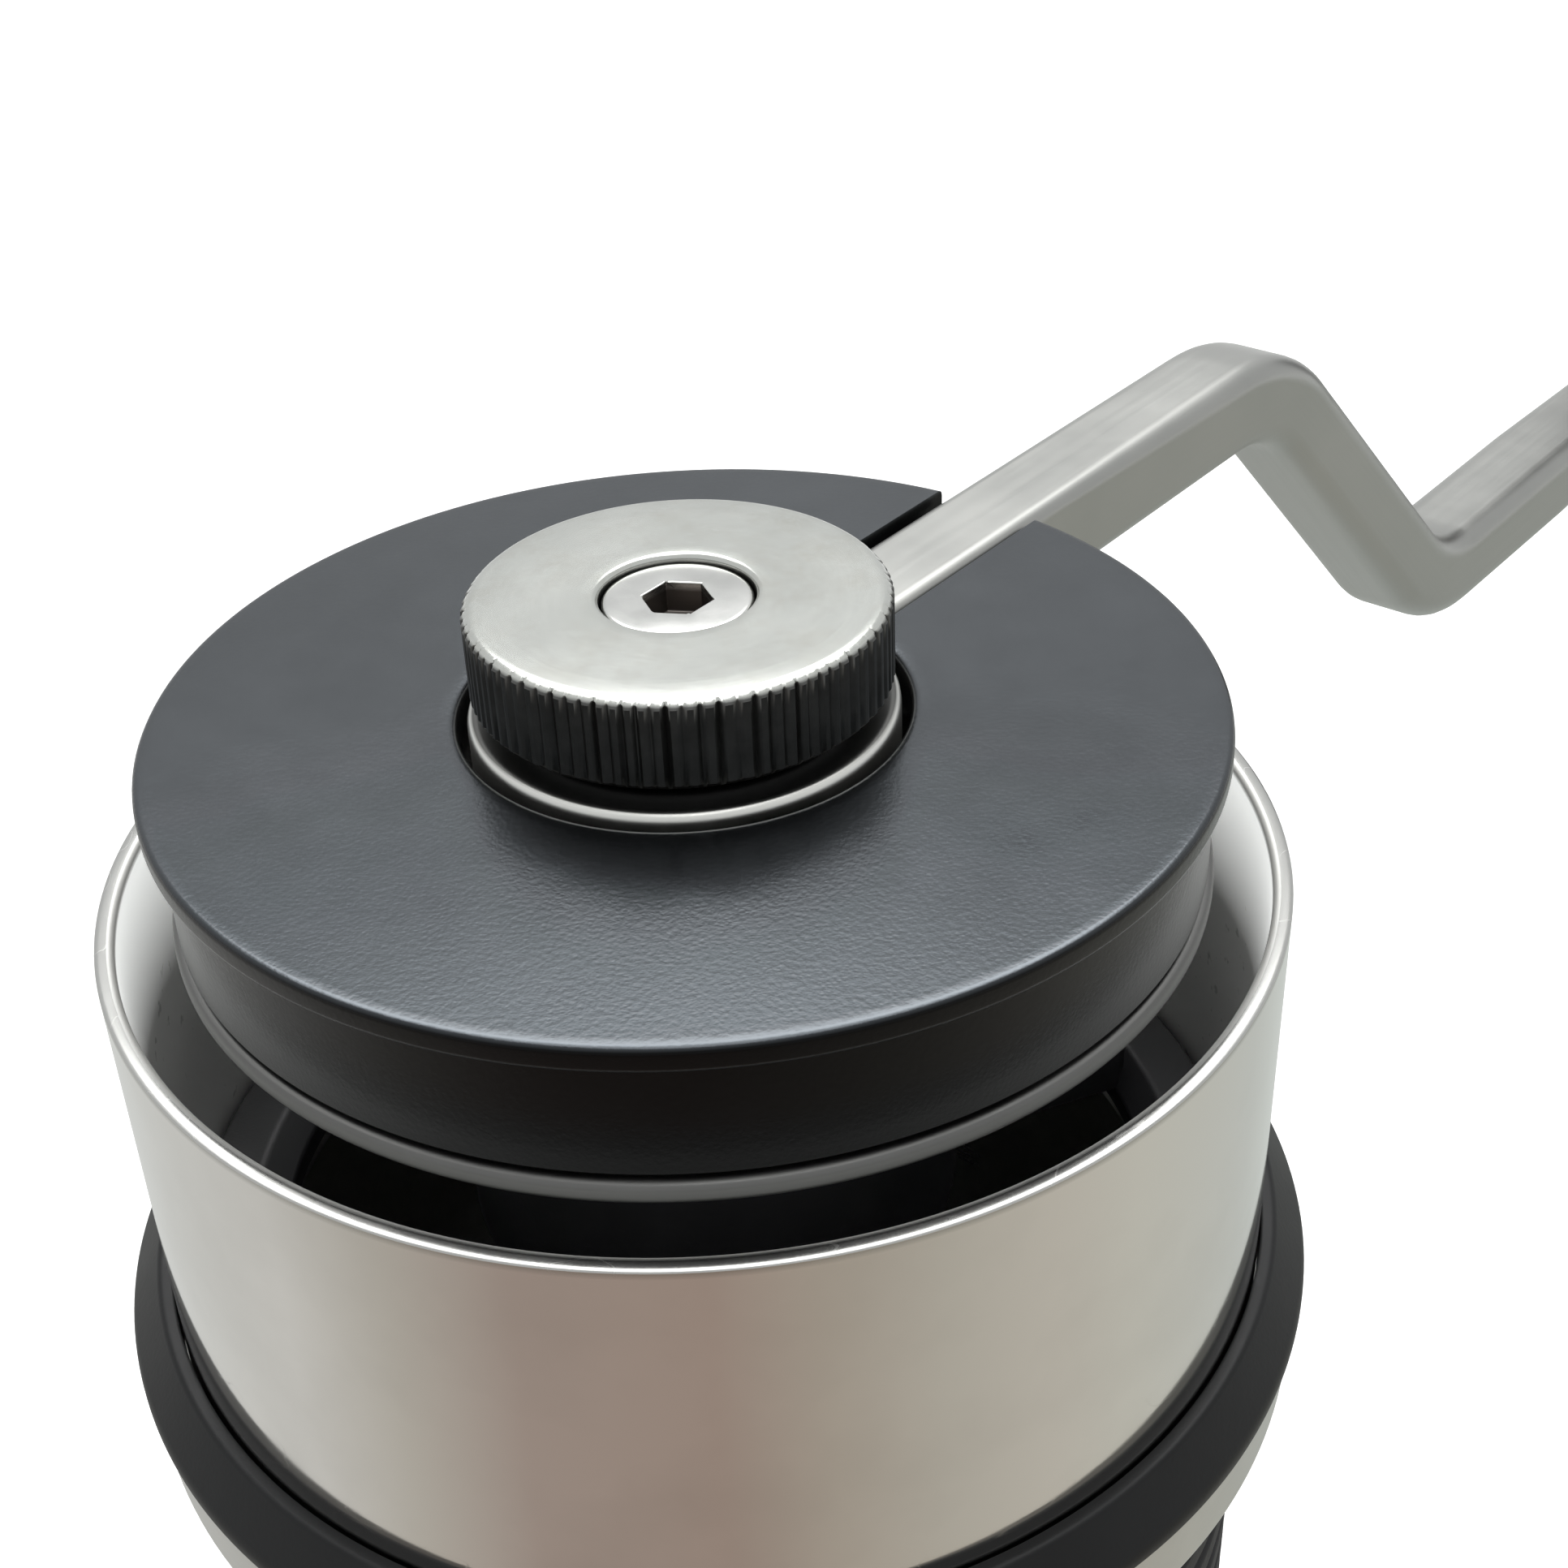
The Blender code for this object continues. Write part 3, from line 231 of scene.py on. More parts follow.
def hopper_steel():
    """Mirror polish outside. The inner wall is a softer satin that gives off light of its own
    towards the rim, because the stage's light leaves the gap round the lid too dark."""
    made, tree, shader = new_material("polished_steel_finish", 1.0)
    place = grain_place(tree)
    x, y, z, radius = axis_distance(tree)
    inside = spread(tree, radius, (SHELL.radius - 0.85) * MM, (SHELL.radius - 0.6) * MM, 1.0, 0.0)
    smudge = spread(tree, noise(tree, place, 90.0, 4.0), 0.45, 0.75, 0.0, 1.0)
    speck = spread(tree, noise(tree, place, 900.0, 2.0), 0.66, 0.72, 0.0, 1.0)
    fine = noise(tree, turned_place(tree, 6.5, 9000.0), 1.0, 2.0)
    stray = scratches(tree, turned_place(tree, 3.5, 420.0), 1.0, 0.004)
    colour = mixed(tree, smudge, (0.79, 0.78, 0.76, 1), (0.72, 0.71, 0.69, 1))
    colour = mixed(tree, inside, colour, (0.95, 0.95, 0.93, 1))
    colour = mixed(tree, maths(tree, "MULTIPLY", speck, maths(tree, "MULTIPLY", inside, 0.5)),
                   colour, (0.45, 0.45, 0.43, 1))
    rough = maths(tree, "ADD", spread(tree, smudge, 0.0, 1.0, 0.05, 0.12),
                  maths(tree, "MULTIPLY", fine, 0.03))
    rough = maths(tree, "ADD", rough, maths(tree, "MULTIPLY", stray, 0.08))
    rough = maths(tree, "ADD", rough, maths(tree, "MULTIPLY", inside, 0.5))
    rim = spread(tree, z, (SHELL.high - 0.5) * MM, (SHELL.high - 0.2) * MM, 0.0, 1.0)
    colour = mixed(tree, rim, colour, (0.52, 0.52, 0.50, 1))
    rough = maths(tree, "ADD", rough, maths(tree, "MULTIPLY", rim, 0.16))
    lit = spread(tree, z, (SHELL.high - 9.0) * MM, (SHELL.high - 1.0) * MM, 0.0, 0.7)
    lit = maths(tree, "MULTIPLY", lit, maths(tree, "SUBTRACT", 1.0, rim))
    shader.inputs["Emission Color"].default_value = (0.98, 1.0, 0.98, 1)
    tree.links.new(maths(tree, "MULTIPLY", inside, lit), shader.inputs["Emission Strength"])
    connect(tree, shader, colour, rough, fine, 0.0000004)
    return made


def satin_steel(name, base, low, high):
    """Turned steel: fine rings, soft patches of gloss and rubbed edges."""
    made, tree, shader = new_material(name, 1.0)
    place = grain_place(tree)
    patch = noise(tree, place, 140.0, 5.0, 0.6)
    rings = noise(tree, turned_place(tree, 4.5, LATHE_MARKS), 1.0, 3.0)
    bright = tuple(min(1.0, c * 1.05) for c in base) + (1,)
    dull = tuple(c * 0.95 for c in base) + (1,)
    colour = mixed(tree, spread(tree, patch, 0.35, 0.7, 0.0, 1.0), dull, bright)
    colour = mixed(tree, edge_wear(tree), colour, tuple(min(1.0, c * 1.35) for c in base) + (1,))
    rough = maths(tree, "ADD", spread(tree, patch, 0.3, 0.7, low, high),
                  maths(tree, "MULTIPLY", rings, 0.08))
    connect(tree, shader, colour, rough, rings, 0.0000012)
    return made


def screw_steel():
    """Satin head, with painted shade in its socket and in the groove round it."""
    made, tree, shader = new_material("screw_steel_finish", 1.0)
    x, y, z, radius = axis_distance(tree)
    deep = spread(tree, z, (SCREW.high - 0.5) * MM, (SCREW.high - 0.2) * MM, 1.0, 0.0)
    patch = noise(tree, grain_place(tree), 500.0, 4.0)
    rings = noise(tree, turned_place(tree, 1.5, 9000.0), 1.0, 3.0)
    colour = mixed(tree, patch, (0.60, 0.605, 0.58, 1), (0.70, 0.70, 0.68, 1))
    # Painted shade: everything below the head's top face is darkened nearly to black.
    colour = mixed(tree, maths(tree, "MULTIPLY", deep, 0.85), colour, (0.09, 0.07, 0.06, 1))
    rough = maths(tree, "ADD", spread(tree, patch, 0.3, 0.7, 0.18, 0.24),
                  maths(tree, "MULTIPLY", deep, 0.15))
    connect(tree, shader, colour, rough, rings, 0.0000008)
    return made


def nut_steel():
    """Fine turned face on top, with painted shade on the knurled wall and in the recess for the
    screw.
    """
    made, tree, shader = new_material("nut_steel_finish", 1.0)
    x, y, z, radius = axis_distance(tree)
    outside = spread(tree, radius, (NUT.radius - 0.75) * MM, (NUT.radius - 0.35) * MM, 0.0, 1.0)
    recess = spread(tree, radius, 4.02 * MM, 4.1 * MM, 1.0, 0.0)
    wall = maths(tree, "MULTIPLY", maths(tree, "MAXIMUM", outside, recess),
                 spread(tree, z, (NUT.high - 0.34) * MM, (NUT.high - 0.2) * MM, 1.0, 0.0))
    patch = noise(tree, grain_place(tree), 130.0, 4.0, 0.55)
    rings = noise(tree, turned_place(tree, 4.5, LATHE_MARKS), 1.0, 3.0)
    stray = scratches(tree, turned_place(tree, 2.5, 900.0), 1.0, 0.006)
    shade_mottle = noise(tree, grain_place(tree), 700.0, 3.0)
    stain = spread(tree, noise(tree, grain_place(tree), 420.0, 6.0, 0.7), 0.45, 0.7, 0.0, 0.6)
    colour = mixed(tree, patch, (0.57, 0.585, 0.55, 1), (0.67, 0.68, 0.645, 1))
    colour = mixed(tree, stain, colour, (0.55, 0.55, 0.50, 1))
    colour = mixed(tree, maths(tree, "MULTIPLY", stray, 0.25), colour, (0.72, 0.72, 0.70, 1))
    # Painted shade: the knurled wall and the recess are darkened nearly to black, mottled by noise.
    painted_shade = mixed(tree, shade_mottle, (0.035, 0.035, 0.034, 1), (0.12, 0.12, 0.115, 1))
    colour = mixed(tree, maths(tree, "MULTIPLY", wall, 0.95), colour, painted_shade)
    rough = maths(tree, "ADD", spread(tree, patch, 0.3, 0.7, 0.17, 0.21),
                  maths(tree, "MULTIPLY", rings, 0.05))
    rough = maths(tree, "ADD", rough, maths(tree, "MULTIPLY", wall, 0.10))
    connect(tree, shader, colour, rough, rings, 0.0000008)
    return made


def arm_steel():
    """Brushed bar: marks along the bar, which follow it down its step. The hub's top carries a
    painted highlight, and there is painted shade under the nut.
    """
    made, tree, shader = new_material("arm_steel_finish", 1.0)
    place = object_place(tree)
    x, y, z = add(tree, "SeparateXYZ", {0: place}).outputs
    fall = spread(tree, x, ARM_BEND * MM, (ARM_BEND + ARM_DROP / ARM_FALL) * MM, 0.0, ARM_DROP * MM)
    level = maths(tree, "ADD", z, fall)
    along = combined(tree, maths(tree, "MULTIPLY", x, 60.0), maths(tree, "MULTIPLY", y, 2600.0),
                     maths(tree, "MULTIPLY", level, 2600.0))
    brushed = noise(tree, along, 1.0, 3.0)
    patch = noise(tree, grain_place(tree), 70.0, 4.0, 0.6)
    colour = mixed(tree, patch, (0.33, 0.335, 0.32, 1), (0.42, 0.42, 0.40, 1))
    colour = mixed(tree, edge_wear(tree), colour, (0.74, 0.74, 0.72, 1))
    radius = axis_distance(tree)[3]
    # Painted highlight: the hub's top is made far paler than the bar, as a bright ring round the
    # nut.
    hub = spread(tree, radius, (HUB_RADIUS + 0.1) * MM, (HUB_RADIUS + 0.3) * MM, 0.9, 0.0)
    colour = mixed(tree, hub, colour, (0.80, 0.80, 0.76, 1))
    # Painted shade: the hub's top under the nut is darkened nearly to black.
    painted_shade_under_nut = spread(tree, radius, NUT.radius * MM, (NUT.radius + 0.15) * MM, 0.9, 0.0)
    colour = mixed(tree, painted_shade_under_nut, colour, (0.02, 0.02, 0.02, 1))
    rough = maths(tree, "ADD", spread(tree, patch, 0.3, 0.7, 0.26, 0.36),
                  maths(tree, "MULTIPLY", brushed, 0.10))
    connect(tree, shader, colour, rough, brushed, 0.0000022)
    return made


def grained_black(name, base, low, high, cells, depth, specular=0.5):
    """Matte black with a fine leathery grain, whose edges are rubbed a little paler."""
    made, tree, shader = new_material(name, 0.0, specular)
    place = grain_place(tree)
    pebble = add(tree, "TexVoronoi", {"Vector": place, "Scale": cells}, feature="SMOOTH_F1")
    grain = maths(tree, "ADD", pebble.outputs["Distance"],
                  maths(tree, "MULTIPLY", noise(tree, place, cells * 2.2, 2.0), 0.8))
    cloud = noise(tree, place, 60.0, 4.0, 0.6)
    rubbed = noise(tree, place, 320.0, 3.0)
    deep = tuple(c * 0.7 for c in base) + (1,)
    pale = tuple(c * 1.5 for c in base) + (1,)
    wear = tuple(c * 6.0 + 0.01 for c in base) + (1,)
    colour = mixed(tree, spread(tree, cloud, 0.3, 0.7, 0.0, 1.0), deep, pale)
    rubbed_edge = maths(tree, "MULTIPLY", edge_wear(tree, 0.53, 0.66),
                        spread(tree, rubbed, 0.4, 0.7, 0.1, 0.6))
    colour = mixed(tree, rubbed_edge, colour, wear)
    rough = maths(tree, "ADD", spread(tree, cloud, 0.3, 0.7, low, high),
                  maths(tree, "MULTIPLY", rubbed, 0.06))
    connect(tree, shader, colour, rough, grain, depth)
    return made


def lid_finish():
    """Fine leathery black, glossier on the top face than on the wall under its edge."""
    made = grained_black("lid_black_finish", (0.0012, 0.0013, 0.0015), 0.19, 0.23, 4200.0,
                         0.000006, specular=1.0)
    tree = made.node_tree
    height = axis_distance(tree)[2]
    top = spread(tree, height, (LID.high - 0.2) * MM, (LID.high - 0.02) * MM, 0.0, 1.0)
    tint = mixed(tree, top, (0.10, 0.10, 0.10, 1), (0.83, 0.92, 1.0, 1))
    tree.links.new(tint, tree.nodes["Principled BSDF"].inputs["Specular Tint"])
    return made


def brass_finish():
    return satin_steel("brass_finish", (0.66, 0.47, 0.22), 0.22, 0.36)


def dial_steel():
    """Satin steel with fifty engraved ticks round the upper band, every fifth one longer."""
    made, tree, shader = new_material("dial_steel_finish", 1.0)
    x, y, z = add(tree, "SeparateXYZ", {0: object_place(tree)}).outputs
    turn = maths(tree, "DIVIDE", maths(tree, "ARCTAN2", y, x), 2 * math.pi / 50)
    offset = maths(tree, "ABSOLUTE", maths(tree, "SUBTRACT", turn, maths(tree, "ROUND", turn)))
    line = maths(tree, "LESS_THAN", offset, 0.065)
    fifth = maths(tree, "DIVIDE", turn, 5.0)
    fifth = maths(tree, "ABSOLUTE", maths(tree, "SUBTRACT", fifth, maths(tree, "ROUND", fifth)))
    longer = maths(tree, "LESS_THAN", fifth, 0.05)
    length = maths(tree, "MULTIPLY", longer, 2.0 * MM)
    foot = maths(tree, "SUBTRACT", (DIAL.high - 3.2) * MM, length)
    above = maths(tree, "GREATER_THAN", z, foot)
    below = maths(tree, "LESS_THAN", z, (DIAL.high - 0.9) * MM)
    tick = maths(tree, "MULTIPLY", line, maths(tree, "MULTIPLY", above, below))
    patch = noise(tree, grain_place(tree), 140.0, 5.0, 0.6)
    rings = noise(tree, turned_place(tree, 4.5, LATHE_MARKS), 1.0, 3.0)
    colour = mixed(tree, patch, (0.50, 0.50, 0.48, 1), (0.68, 0.68, 0.66, 1))
    colour = mixed(tree, edge_wear(tree), colour, (0.85, 0.85, 0.83, 1))
    colour = mixed(tree, tick, colour, (0.02, 0.02, 0.02, 1))
    rough = maths(tree, "ADD", spread(tree, patch, 0.3, 0.7, 0.24, 0.34),
                  maths(tree, "MULTIPLY", tick, 0.3))
    height = maths(tree, "SUBTRACT", maths(tree, "MULTIPLY", rings, 0.02), tick)
    connect(tree, shader, colour, rough, height, 0.00008)
    return made


# ---------------------------------------------------------------- mesh tools


def eased(corners, steps=4):
    """A closed outline's corners (radius, height, ease), each ease as a short curve."""
    points = []
    count = len(corners)
    for k, corner in enumerate(corners):
        here = Vector(corner[:2])
        ease = corner[2] if len(corner) > 2 else 0.0
        if not ease:
            points.append(here)
            continue
        to_last = Vector(corners[k - 1][:2]) - here
        to_next = Vector(corners[(k + 1) % count][:2]) - here
        first = here + to_last.normalized() * min(ease, to_last.length * 0.49)
        last = here + to_next.normalized() * min(ease, to_next.length * 0.49)
        for i in range(steps + 1):
            t = i / steps
            points.append(first * (1 - t) ** 2 + here * 2 * t * (1 - t) + last * t ** 2)
    return points


def turned_mesh(points, segments, radius_at=None, half_slot=0.0):
    """An outline turned round Z. radius_at(turn, radius, height) may reshape a level, and
    half_slot leaves a slot with parallel sides open towards +X."""
    bm = bmesh.new()
    rings = []
    count = segments + 1 if half_slot else segments
    for radius, height in points:
        if radius < 1e-6:
            rings.append([bm.verts.new((0.0, 0.0, height))] * count)
            continue
        start = math.asin(half_slot / radius) if half_slot else 0.0
        sweep = 2 * math.pi - 2 * start
        ring = []
        for i in range(count):
            turn = start + sweep * i / segments
            reach = radius_at(turn, radius, height) if radius_at else radius
            ring.append(bm.verts.new((reach * math.cos(turn), reach * math.sin(turn), height)))
        rings.append(ring)
    steps = range(segments)
    for a, ring in enumerate(rings):
        other = rings[(a + 1) % len(rings)]
        for i in steps:
            j = (i + 1) % count
            corners = list(dict.fromkeys((ring[i], ring[j], other[j], other[i])))
            if len(corners) > 2:
                bm.faces.new(corners)
    if half_slot:
        bm.faces.new([ring[0] for ring in rings])
        bm.faces.new([ring[-1] for ring in rings][::-1])
    return bm


def made_piece(name, bm, look, body, node=None, centre_x=0.0, angle=32):
    """A mesh in millimetres as a smooth object that rides a body and stands for a node."""
    bmesh.ops.recalc_face_normals(bm, faces=bm.faces)
    bmesh.ops.scale(bm, vec=(MM, MM, MM), verts=bm.verts)
    mesh = bpy.data.meshes.new(name)
    bm.to_mesh(mesh)
    bm.free()
    mesh.shade_smooth()
    mesh.set_sharp_from_angle(angle=math.radians(angle))
    mesh.materials.append(look)
    piece = bpy.data.objects.new(name, mesh)
    piece.location.x = centre_x * MM
    bpy.context.scene.collection.objects.link(piece)
    if body:
        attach(piece, body)
    if node:
        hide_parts(node)
    return piece


def weighted(piece):
    """Keeps broad faces flat in the shading beside their eased edges."""
    modifier = piece.modifiers.new("flat faces", "WEIGHTED_NORMAL")
    modifier.keep_sharp = True
    return piece


def helper(bm, operation, piece):
    """A Boolean with a helper mesh, which is applied and then removed."""
    tool = made_piece(piece.name + "_tool", bm, piece.data.materials[0], None)
    tool.location = piece.location
    modifier = piece.modifiers.new("boolean", "BOOLEAN")
    modifier.operation = operation
    modifier.object = tool
    bpy.context.view_layer.update()
    graph = bpy.context.evaluated_depsgraph_get()
    result = bpy.data.meshes.new_from_object(piece.evaluated_get(graph))
    piece.modifiers.remove(modifier)
    old = piece.data
    piece.data = result
    bpy.data.meshes.remove(old)
    bpy.data.objects.remove(tool)
    result.shade_smooth()
    result.set_sharp_from_angle(angle=math.radians(32))


def bevelled(piece, width, segments=2, angle=50):
    modifier = piece.modifiers.new("edges", "BEVEL")
    modifier.width = width * MM
    modifier.segments = segments
    modifier.limit_method = "ANGLE"
    modifier.angle_limit = math.radians(angle)
    modifier.harden_normals = True
    return piece


def turned(node, corners, look, body, segments=144, centre_x=0.0, steps=4):
    """A turned piece that stands for one CAD node."""
    bm = turned_mesh(eased(corners, steps), segments)
    return weighted(made_piece(node + "_look", bm, look, body, node, centre_x))


def disc(radius, low, high, segments=32, ease=0.0):
    corners = [(0, low), (radius, low, ease), (radius, high, ease), (0, high)]
    return turned_mesh(eased(corners), segments)


def box_mesh(low, high):
    bm = bmesh.new()
    bmesh.ops.create_cube(bm, size=1.0)
    for v in bm.verts:
        for k in range(3):
            v.co[k] = low[k] + (v.co[k] + 0.5) * (high[k] - low[k])
    return bm


def rotated(bm, degrees, axis="Z"):
    bmesh.ops.rotate(bm, matrix=Matrix.Rotation(math.radians(degrees), 3, axis), verts=bm.verts)
    return bm


def moved(bm, place):
    bmesh.ops.translate(bm, vec=place, verts=bm.verts)
    return bm


# ---------------------------------------------------------------- crank arm route


def round_bend(corner, way_in, way_out, steps=16):
    """Points of the round bend in the bar's line where it turns at a corner."""
    turn = way_in.angle(way_out)
    side = 1 if way_in.cross(way_out) > 0 else -1
    inward = Vector((-way_in.y, way_in.x)) * side
    start = corner - way_in * ARM_BEND_RADIUS * math.tan(turn / 2)
    middle = start + inward * ARM_BEND_RADIUS
    points = []
    for k in range(steps + 1):
        part = turn * k / steps
        reach = way_in * math.sin(part) - inward * math.cos(part)
        points.append(middle + reach * ARM_BEND_RADIUS)
    return points


def arm_route():
    """The line along the middle of the bar, as (x, z) points with its two bends."""
    level = Vector((1.0, 0.0))
    fall = Vector((1.0, -ARM_FALL)).normalized()
    first = Vector((ARM_BEND, ARM_MIDDLE))
    second = first + Vector((ARM_DROP / ARM_FALL, -ARM_DROP))
    last = Vector((KNOB_X - 3.0, EYE_MIDDLE))
    run = last - second
    points = [Vector((x, ARM_MIDDLE)) for x in (6.0, 14.0, 22.0, 30.0, 38.0, 46.0)]
    points += round_bend(first, level, fall) + round_bend(second, fall, run.normalized())
    points += [second + run * ((x - second.x) / run.x) for x in (104.0, 112.0, 131.0, 150.0)]
    return points + [last]


def arm_size(x):
    """The bar's width, height and edge radius at a distance from the axis."""
    for near, far in zip(ARM_SIZES, ARM_SIZES[1:]):
        if x <= far[0]:
            share = (x - near[0]) / (far[0] - near[0])
            return [a + share * (b - a) for a, b in zip(near[1:], far[1:])]
    return ARM_SIZES[-1][1:]


def arm_section(x, steps=6):
    """The bar's section with round edges, as (across, up) points."""
    width, height, edge = arm_size(x)
    points = []
    for corner, (across, up) in enumerate(((1, 1), (-1, 1), (-1, -1), (1, -1))):
        for k in range(steps + 1):
            turn = math.radians(90 * corner + 90 * k / steps)
            points.append((across * (width / 2 - edge) + edge * math.cos(turn),
                           up * (height / 2 - edge) + edge * math.sin(turn)))
    return points


def arm_bar_mesh():
    route = arm_route()
    bm = bmesh.new()
    rings = []
    for k, place in enumerate(route):
        before = route[max(k - 1, 0)]
        after = route[min(k + 1, len(route) - 1)]
        along = (after - before).normalized()
        rings.append([
            bm.verts.new((place.x - along.y * up, across, place.y + along.x * up))
            for across, up in arm_section(place.x)
        ])
    for a, b in zip(rings, rings[1:]):
        for i in range(len(a)):
            j = (i + 1) % len(a)
            bm.faces.new((a[i], a[j], b[j], b[i]))
    bm.faces.new(rings[0])
    bm.faces.new(rings[-1][::-1])
    return bm


# ---------------------------------------------------------------- lid and crank


def keyhole(node, corners, look, segments=200, ease=0.22, neck=0.9):
    """A slotted ring of the lid, with its slot's upright edges eased."""
    bm = turned_mesh(eased(corners), segments, half_slot=SLOT_HALF_WIDTH)
    weights = bm.edges.layers.float.new("bevel_weight_edge")
    for edge in bm.edges:
        if edge.calc_face_angle(0.0) < math.radians(50):
            continue
        upright = all(math.hypot(*v.co.xy) < LID_HOLE + 0.6 for v in edge.verts)
        edge[weights] = 1.0 if upright and node == "lid" else ease / neck
    piece = made_piece(node + "_look", bm, look, "lid", node)
    modifier = piece.modifiers.new("slot edges", "BEVEL")
    modifier.width = neck * MM
    modifier.segments = 3
    modifier.limit_method = "WEIGHT"
    return weighted(piece)


def build_lid(look, steel):
    plate = LID.high - 2.5
    edge = LID.high - 1.3
    wall = RING.radius - 0.3
    inner = wall - 2.0
    boss = LID_HOLE + 2.0
    corners = [
        (LID_HOLE, LID_BOSS_LOW, 0.2), (boss, LID_BOSS_LOW, 0.2), (boss, plate, 0.8),
        (inner, plate, 0.8), (inner, LID.low, 0.2), (wall, LID.low, 0.15),
        (wall, edge, 0.15), (LID.radius, edge, 0.3), (LID.radius, LID.high, 0.4),
    ]
    corners += [(radius, LID.high) for radius in (26.2, 25.0, 22.0, 19.0, 16.0, 13.5, 12.3)]
    corners += [(LID_HOLE, LID.high, 0.5)]
    keyhole("lid", corners, look)
    corners = [
        (inner, RING.low, 0.1), (RING.radius, RING.low, 0.35), (RING.radius, RING.high - 0.2, 0.3),
        (RING.radius - 0.35, RING.high, 0.2), (inner, RING.high, 0.1),
    ]
    keyhole("lid_ring", corners, steel, ease=0.1)


def knurled_radius(turn, radius, height):
    """Upright grooves in the nut's wall, not quite even, which its chamfers cut off."""
    if radius < NUT.radius - 0.9:
        return radius
    phase = turn * NUT_TEETH / (2 * math.pi) + 0.3 * math.sin(7 * turn)
    wave = abs((phase % 1.0) * 2 - 1)
    depth = 0.22 + 0.07 * math.sin(2.4 * (int(phase) % NUT_TEETH))
    return min(NUT.radius - depth * max(0.0, 1 - wave / 0.62), radius)


def build_thumb_nut(look):
    """Knurled nut, whose wall reaches down round the washer, with a recess for its screw."""
    low, high, wide = NUT.low, NUT.high, NUT.radius
    hole, washer_room, skirt = 2.3, WASHER.radius + 0.4, low - 0.5
    recess, floor = NUT_RECESS - 0.19, low + 1.2
    corners = [
        (hole, low), (washer_room, low), (washer_room, skirt), (wide - 0.6, skirt),
        (wide - 0.3, skirt + 0.2), (wide, skirt + 0.5), (wide, low + 1.4), (wide, high - 1.2),
        (wide, high - 0.42), (wide - 0.14, high - 0.24), (wide - 0.32, high - 0.09),
        (wide - 0.5, high - 0.02), (wide - 0.7, high), (8.4, high), (6.4, high), (4.8, high),
        (NUT_RECESS, high, 0.12), (recess, high - 0.22, 0.1), (recess, floor), (hole, floor),
    ]
    bm = turned_mesh(eased(corners, 3), NUT_TEETH * 10, knurled_radius)
    weighted(made_piece("thumb_nut_look", bm, look, "crank", "thumb_nut"))


def socket_screw(node, look, body, centre, seat, top, head, shank, foot, socket):
    """A socket head screw with a rounded head and a hexagon socket."""
    corners = [
        (0, foot), (shank, foot, 0.3), (shank, seat), (head, seat, 0.1), (head, top, 0.32),
        (0, top),
    ]
    bm = turned_mesh(eased(corners), 72)
    piece = made_piece(node + "_look", bm, look, body, node)
    piece.location = (centre[0] * MM, centre[1] * MM, 0)
    bpy.context.view_layer.update()
    floor = top - (top - seat) * 0.62
    corner = socket / math.sqrt(3)
    outline = [
        (0, floor - 0.5), (corner * 0.7, floor - 0.2), (corner, floor), (corner, top + 1),
        (0, top + 1),
    ]
    helper(turned_mesh([Vector(p) for p in outline], 6), "DIFFERENCE", piece)
    bevelled(piece, 0.07, 2, 40)


def ring(node, span, hole, ease, look, slot, segments=144, body="crank", centre_x=0.0):
    """A plain ring with the CAD's height and outer radius."""
    corners = [(hole, span.low), (span.radius, span.low, ease), (span.radius, span.high, ease),
               (hole, span.high)]
    turned(node, corners, look, body, segments, centre_x)


def build_crank(arm_look, nut_look, steel, dark):
    arm = made_piece("crank_arm_look", arm_bar_mesh(), arm_look, "crank", "crank_arm")
    helper(disc(HUB_RADIUS, HUB_BOTTOM, HUB_TOP, 160, 0.55), "UNION", arm)
    eye_low, eye_top = EYE_MIDDLE - 3.0, EYE_MIDDLE + 3.0
    eye = disc(EYE_RADIUS, eye_low, eye_top, 96, 0.7)
    helper(moved(eye, (KNOB_X, 0, 0)), "UNION", arm)
    bore = disc(SHAFT_HOLE, HUB_BOTTOM - 5, HUB_TOP + 5, 48)
    for v in bore.verts:
        v.co.x = max(-HUB_FLAT, min(HUB_FLAT, v.co.x))
    helper(bore, "DIFFERENCE", arm)
    hole = disc(SPINDLE_HOLE, eye_low - 5, eye_top + 5, 48)
    helper(moved(hole, (KNOB_X, 0, 0)), "DIFFERENCE", arm)
    weighted(arm)
    build_thumb_nut(nut_look)
    socket_screw("crank_screw", screw_steel(), "crank", (0, 0), SCREW.high - 2.6, SCREW.high,
                 SCREW.radius, 1.9, SCREW.low, 3.1)
    ring("nut_washer", WASHER, 2.6, 0.15, dark, "bearing_steel", 96)
    ring("hub_collar", HUB_COLLAR, SHAFT_HOLE, 0.5, steel, "satin_steel")
    ring("shaft_spacer", SPACER, SHAFT_HOLE, 0.3, steel, "satin_steel", 72)


def build_shaft(steel):
    low, high = SHAFT.low, SHAFT.high
    corners = [
        (0, low), (4.0, low, 0.3), (4.0, 82.3, 0.1), (6.0, 82.3, 0.3), (6.0, 90.2, 0.3),
        (4.0, 90.2, 0.1), (4.0, high, 0.5), (0, high),
    ]
    shaft = made_piece("drive_shaft_look", turned_mesh(eased(corners), 72), steel, "crank",
                       "drive_shaft")
    helper(disc(2.2, high - 12, high + 1), "DIFFERENCE", shaft)
    helper(disc(2.9, low - 1, low + 10), "DIFFERENCE", shaft)
    for degrees in (0, 180):
        flat = box_mesh((SHAFT_FLAT, -5, HUB_COLLAR.high + 0.15), (5, 5, high + 1))
        helper(rotated(flat, degrees), "DIFFERENCE", shaft)
    weighted(shaft)


# ---------------------------------------------------------------- hopper and body


